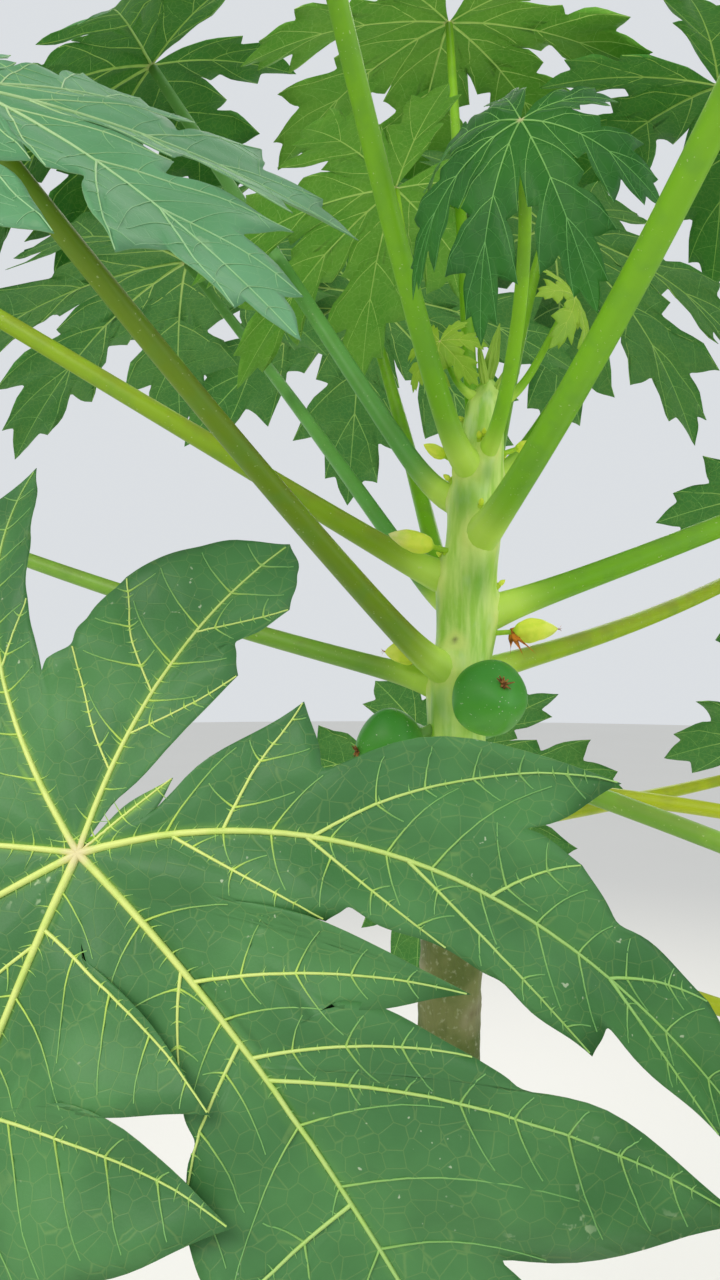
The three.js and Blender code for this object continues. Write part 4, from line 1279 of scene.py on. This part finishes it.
def addFruits():
    skin, dry = fruitFinish(), witheredFinish("star", (110, 70, 38), (180, 122, 66))
    look = fruitLook
    turn = around(look["sides"])
    t = 0.5 - 0.5 * np.cos(math.pi * np.linspace(0, 1, look["rings"]))
    for i, fruit in enumerate(fruits):
        body = fruit["width"] / 2 * fruitSwell(t)[:, None] * (1 + look["ribDepth"] * np.cos(look["ribs"] * turn))
        body = np.maximum(body, np.where(t < 0.5, look["neckRadius"] * 0.9, 0)[:, None])
        up = np.concatenate([[-2, -2], look["neck"] + fruit["length"] * t])
        out = np.concatenate([np.array([[0], [look["neckRadius"] * 1.15]]) + 0 * turn, body])
        points = lathed(standing(fruit, look["neckRadius"]), up, out)
        z = points[..., 2]
        marks = dict(
            upper=(z - z.min()) / (z.max() - z.min()),
            neck=bell(np.clip(up, 0, None) / 8)[:, None] + 0 * turn,
        )
        name = f"fruit_body_{i + 1}"
        body = sleeve(name, points, marks, skin)
        asPiece(joined(name, [body, blossomEnd(fruit, dry, i)]), "fruit_skin", f"fruit_{i + 1}")


def fruitSwell(t):
    return np.sin(math.pi * t) ** 0.62 * (1 + 0.1 * np.cos(math.pi * t))


def blossomEnd(fruit, dry, seed):
    # The dry star left where the flower fell.
    start, along, side, over = standing(fruit, fruitLook["neckRadius"])
    lean, away = fruit["end"][0], math.radians(fruit["end"][1])
    away = math.cos(away) * side + math.sin(away) * over
    t = np.linspace(0.5, 0.999, 60)
    leans = np.arctan2(fruit["width"] / 2 * fruitSwell(t), fruit["length"] * (t - 0.5))
    share = np.interp(lean, leans[::-1], t[::-1])
    end = start + along * (fruitLook["neck"] + fruit["length"] * share)
    end += away * (fruit["width"] / 2 * fruitSwell(share) - 0.3)
    face = math.cos(lean) * along + math.sin(lean) * away
    level = unit(np.cross(face, side))
    other = np.cross(level, face)
    shape = bmesh.new()
    for k in range(starLook["rays"]):
        angle = k * starLook["turn"] + 0.5 * chance(seed, k)
        way = face * (0.25 + 0.5 * chance(seed, k + 9)) + math.cos(angle) * level + math.sin(angle) * other
        size = starLook["length"] + starLook["vary"] * chance(seed + 4, k)
        spike = bmesh.ops.create_cone(shape, cap_ends=True, segments=6, depth=1, **starLook["ends"])["verts"]
        spin = Vector(way).to_track_quat("Z", "Y").to_matrix().to_4x4()
        bmesh.ops.scale(shape, vec=(1, starLook["flat"], size), verts=spike)
        bmesh.ops.translate(shape, vec=(0, 0, size / 2 - 0.5), verts=spike)
        bmesh.ops.transform(shape, matrix=Matrix.Translation(Vector(end)) @ spin, verts=spike)
    bmesh.ops.scale(shape, vec=(mm, mm, mm), verts=shape.verts)
    return asObject("star", asMesh("star", shape), dry)


def budBody(name, spot, finish, sides=30):
    look = budLook
    turn, t = around(sides), np.linspace(0, 1, sides)
    plain = np.interp(t, [0, 0.12, 0.36, 0.66, 0.9, 1], [0.12, 0.72, 1, 0.8, 0.36, 0])
    for _ in range(3):
        plain[1:-1] = (plain[:-2] + plain[1:-1] * 2 + plain[2:]) / 4
    pleat = np.cos(look["petals"] * turn + look["twist"] * 2 * math.pi * t[:, None])
    body = spot["width"] / 2 * plain[:, None] * (1 + look["pleat"] * pleat)
    body = np.maximum(body, np.where(t < 0.3, look["foot"] * 0.9, 0)[:, None])
    body[-1] = 0
    cup = look["foot"] * np.array([[0], [1.3], [1], [0.95]]) + 0 * turn
    up = np.concatenate([[-2, -2, 1.5, spot["stem"] * 0.7], spot["stem"] + spot["length"] * t])
    points = lathed(standing(spot, look["foot"]), up, np.concatenate([cup, body]))
    share = np.clip((up - spot["stem"]) / spot["length"], 0, 1)[:, None] + 0 * turn
    marks = dict(
        foot=np.clip(1 - share / 0.14, 0, 1),
        tip=np.clip(spot.get("tip", 0) * 2 * np.clip((share - 0.6) / 0.3, 0, 1), 0, 1),
    )
    return sleeve(name, points, marks, finish)


def ribbon(name, points, wide, finish):
    # A thin crumpled strip through a few points, in millimetres.
    t = np.linspace(0, 1, 14)
    spine = between(t * (len(points) - 1), np.arange(len(points)), np.array(points))
    turn = around(8)[:, None]
    width = wide * np.interp(t, [0, 0.3, 0.75, 1], [0.5, 1, 0.5, 0.1])
    rows = []
    for k, at in enumerate(spine):
        cos, sin = math.cos(0.14 * k), math.sin(0.14 * k)
        flat, thin = np.array([cos, sin * 0.4, 0.3]), 0.22 * np.array([-sin * 0.3, cos, 0.1])
        rows.append(at + width[k] * (np.cos(turn) * flat + np.sin(turn) * thin))
    return sleeve(name, np.array(rows), {}, finish, (spine[0], spine[-1]))


def addBuds():
    lime, dry = budFinish(), witheredFinish("petal", (146, 84, 30), (226, 136, 44))
    for i, bud in enumerate(buds):
        name = f"bud_body_{i + 1}"
        parts = [budBody(name, bud, lime)]
        if "petals" in bud:
            parts += witheredParts(i, bud, dry)
        asPiece(joined(name, parts), "flower_bud", f"bud_{i + 1}")


dryLook = dict(petals=3, petalWidth=2.6, narrower=0.6, rays=4, rayWidth=0.5)


def witheredParts(i, bud, dry):
    # The dead petals that hang from a young fruit's foot, and the dry rays on its tip.
    parts = []
    start, along, side, over = standing(bud, budLook["foot"])
    base, tip = start + along * bud["stem"], start + along * (bud["stem"] + bud["length"])
    for k in range(dryLook["petals"]):
        swing = math.cos(k * 2.1)
        lean = side * (0.9 * swing - 0.3) + along * (0.42 * k - 0.1) + np.array([0, 0, -0.95])
        far = lean * bud["petals"] * (0.7 + 0.4 * chance(i, k))
        path = [base + over * 2.4, base + far * 0.3 + side * 3 * swing]
        path += [base + far * n + along * (1.5 * k * n) for n in (0.6, 1)]
        parts.append(ribbon(f"petal_{i}_{k}", path, dryLook["petalWidth"] - dryLook["narrower"] * k, dry))
    for k in range(dryLook["rays"]):
        lean = side * math.cos(k * 1.6) + over * math.sin(k * 1.6)
        path = [tip - along, tip + along * 1.2 + lean * 0.8, tip + along * 2 + lean * 2.2]
        parts.append(ribbon(f"stigma_{i}_{k}", path, dryLook["rayWidth"], dry))
    return parts


axilLook = dict(low=1150, high=1280, least=2.4, vary=1.6, lift=0.75, apart=36, rise=40, stem=1.2, stretch=1.5)


def addAxilBuds():
    # Two small green buds just above the foot of each upper stalk.
    look, finish = axilLook, budFinish()
    parts = []
    for i, leaf in enumerate(leaves):
        for k in range(2) if look["low"] < leaf["height"] < look["high"] else []:
            size = look["least"] + look["vary"] * chance(i, k)
            spot = dict(
                height=leaf["height"] + leaf["girth"] * look["lift"] + 2.5 * chance(i, k + 7),
                bearing=leaf["bearing"] + look["apart"] * (k - 0.5) + 8 * chance(i, k + 3),
                rise=look["rise"], stem=look["stem"], length=size * look["stretch"], width=size,
            )
            parts.append(budBody(f"axil_{i}_{k}", spot, finish, 15))
    asPiece(joined("axil_buds", parts), "flower_bud")


# The youngest leaves, still folded, on the trunk's tip

spear = dict(pleats=7, rings=40, sides=56)
spears = [
    dict(length=36, width=9, lean=12, bearing=0, drop=1),
    dict(length=30, width=6, lean=24, bearing=-120, drop=7),
    dict(length=22, width=5, lean=30, bearing=-30, drop=11),
    dict(length=26, width=6, lean=22, bearing=100, drop=8),
]


def addSpears():
    finish = bladeTop(dict(bladeTones["young"], upper=(188, 216, 92), deep=(166, 204, 74)), "folded")
    parts = [foldedLeaf(f"folded_leaf_{i + 1}", one, finish) for i, one in enumerate(spears)]
    asPiece(joined("folded_leaves", parts), "young_leaf", "spear")


def foldedLeaf(name, one, finish):
    height, x, y, _ = trunkStations[-1]
    bearing = math.radians(one["bearing"])
    along, side = direction(math.radians(90 - one["lean"]), bearing), sideways(bearing)
    start = np.array([x, y, height - one["drop"]]) + direction(0, bearing) * 0.3 * (one["drop"] - 1)
    t = np.linspace(0, 1, spear["rings"])
    plain = np.interp(t, [0, 0.35, 0.75, 1], [0.7, 1, 0.55, 0.04])[:, None] * one["width"] / 2
    out = plain * (0.86 + 0.14 * np.cos(spear["pleats"] * around(spear["sides"]) + 1.5 * t[:, None]))
    points = lathed((start, along, side, np.cross(along, side)), t * one["length"], out)
    return sleeve(name, points, dict(nerve=0 * out), finish, (start, start + along * one["length"]))


def addFloor():
    shape = bmesh.new()
    bmesh.ops.create_circle(shape, cap_ends=True, segments=96, radius=studio["floor"])
    floor = asObject("floor", asMesh("floor", shape), floorFinish())


addCamera()
addLamps()
addFloor()
print("camera, light and floor ready")
addTrunk()
print("trunk ready")
addStalks()
print("stalks ready")
addBlades()
print("blades ready")
addFruits()
addBuds()
addAxilBuds()
addSpears()
print("fruit, buds and folded leaf ready")
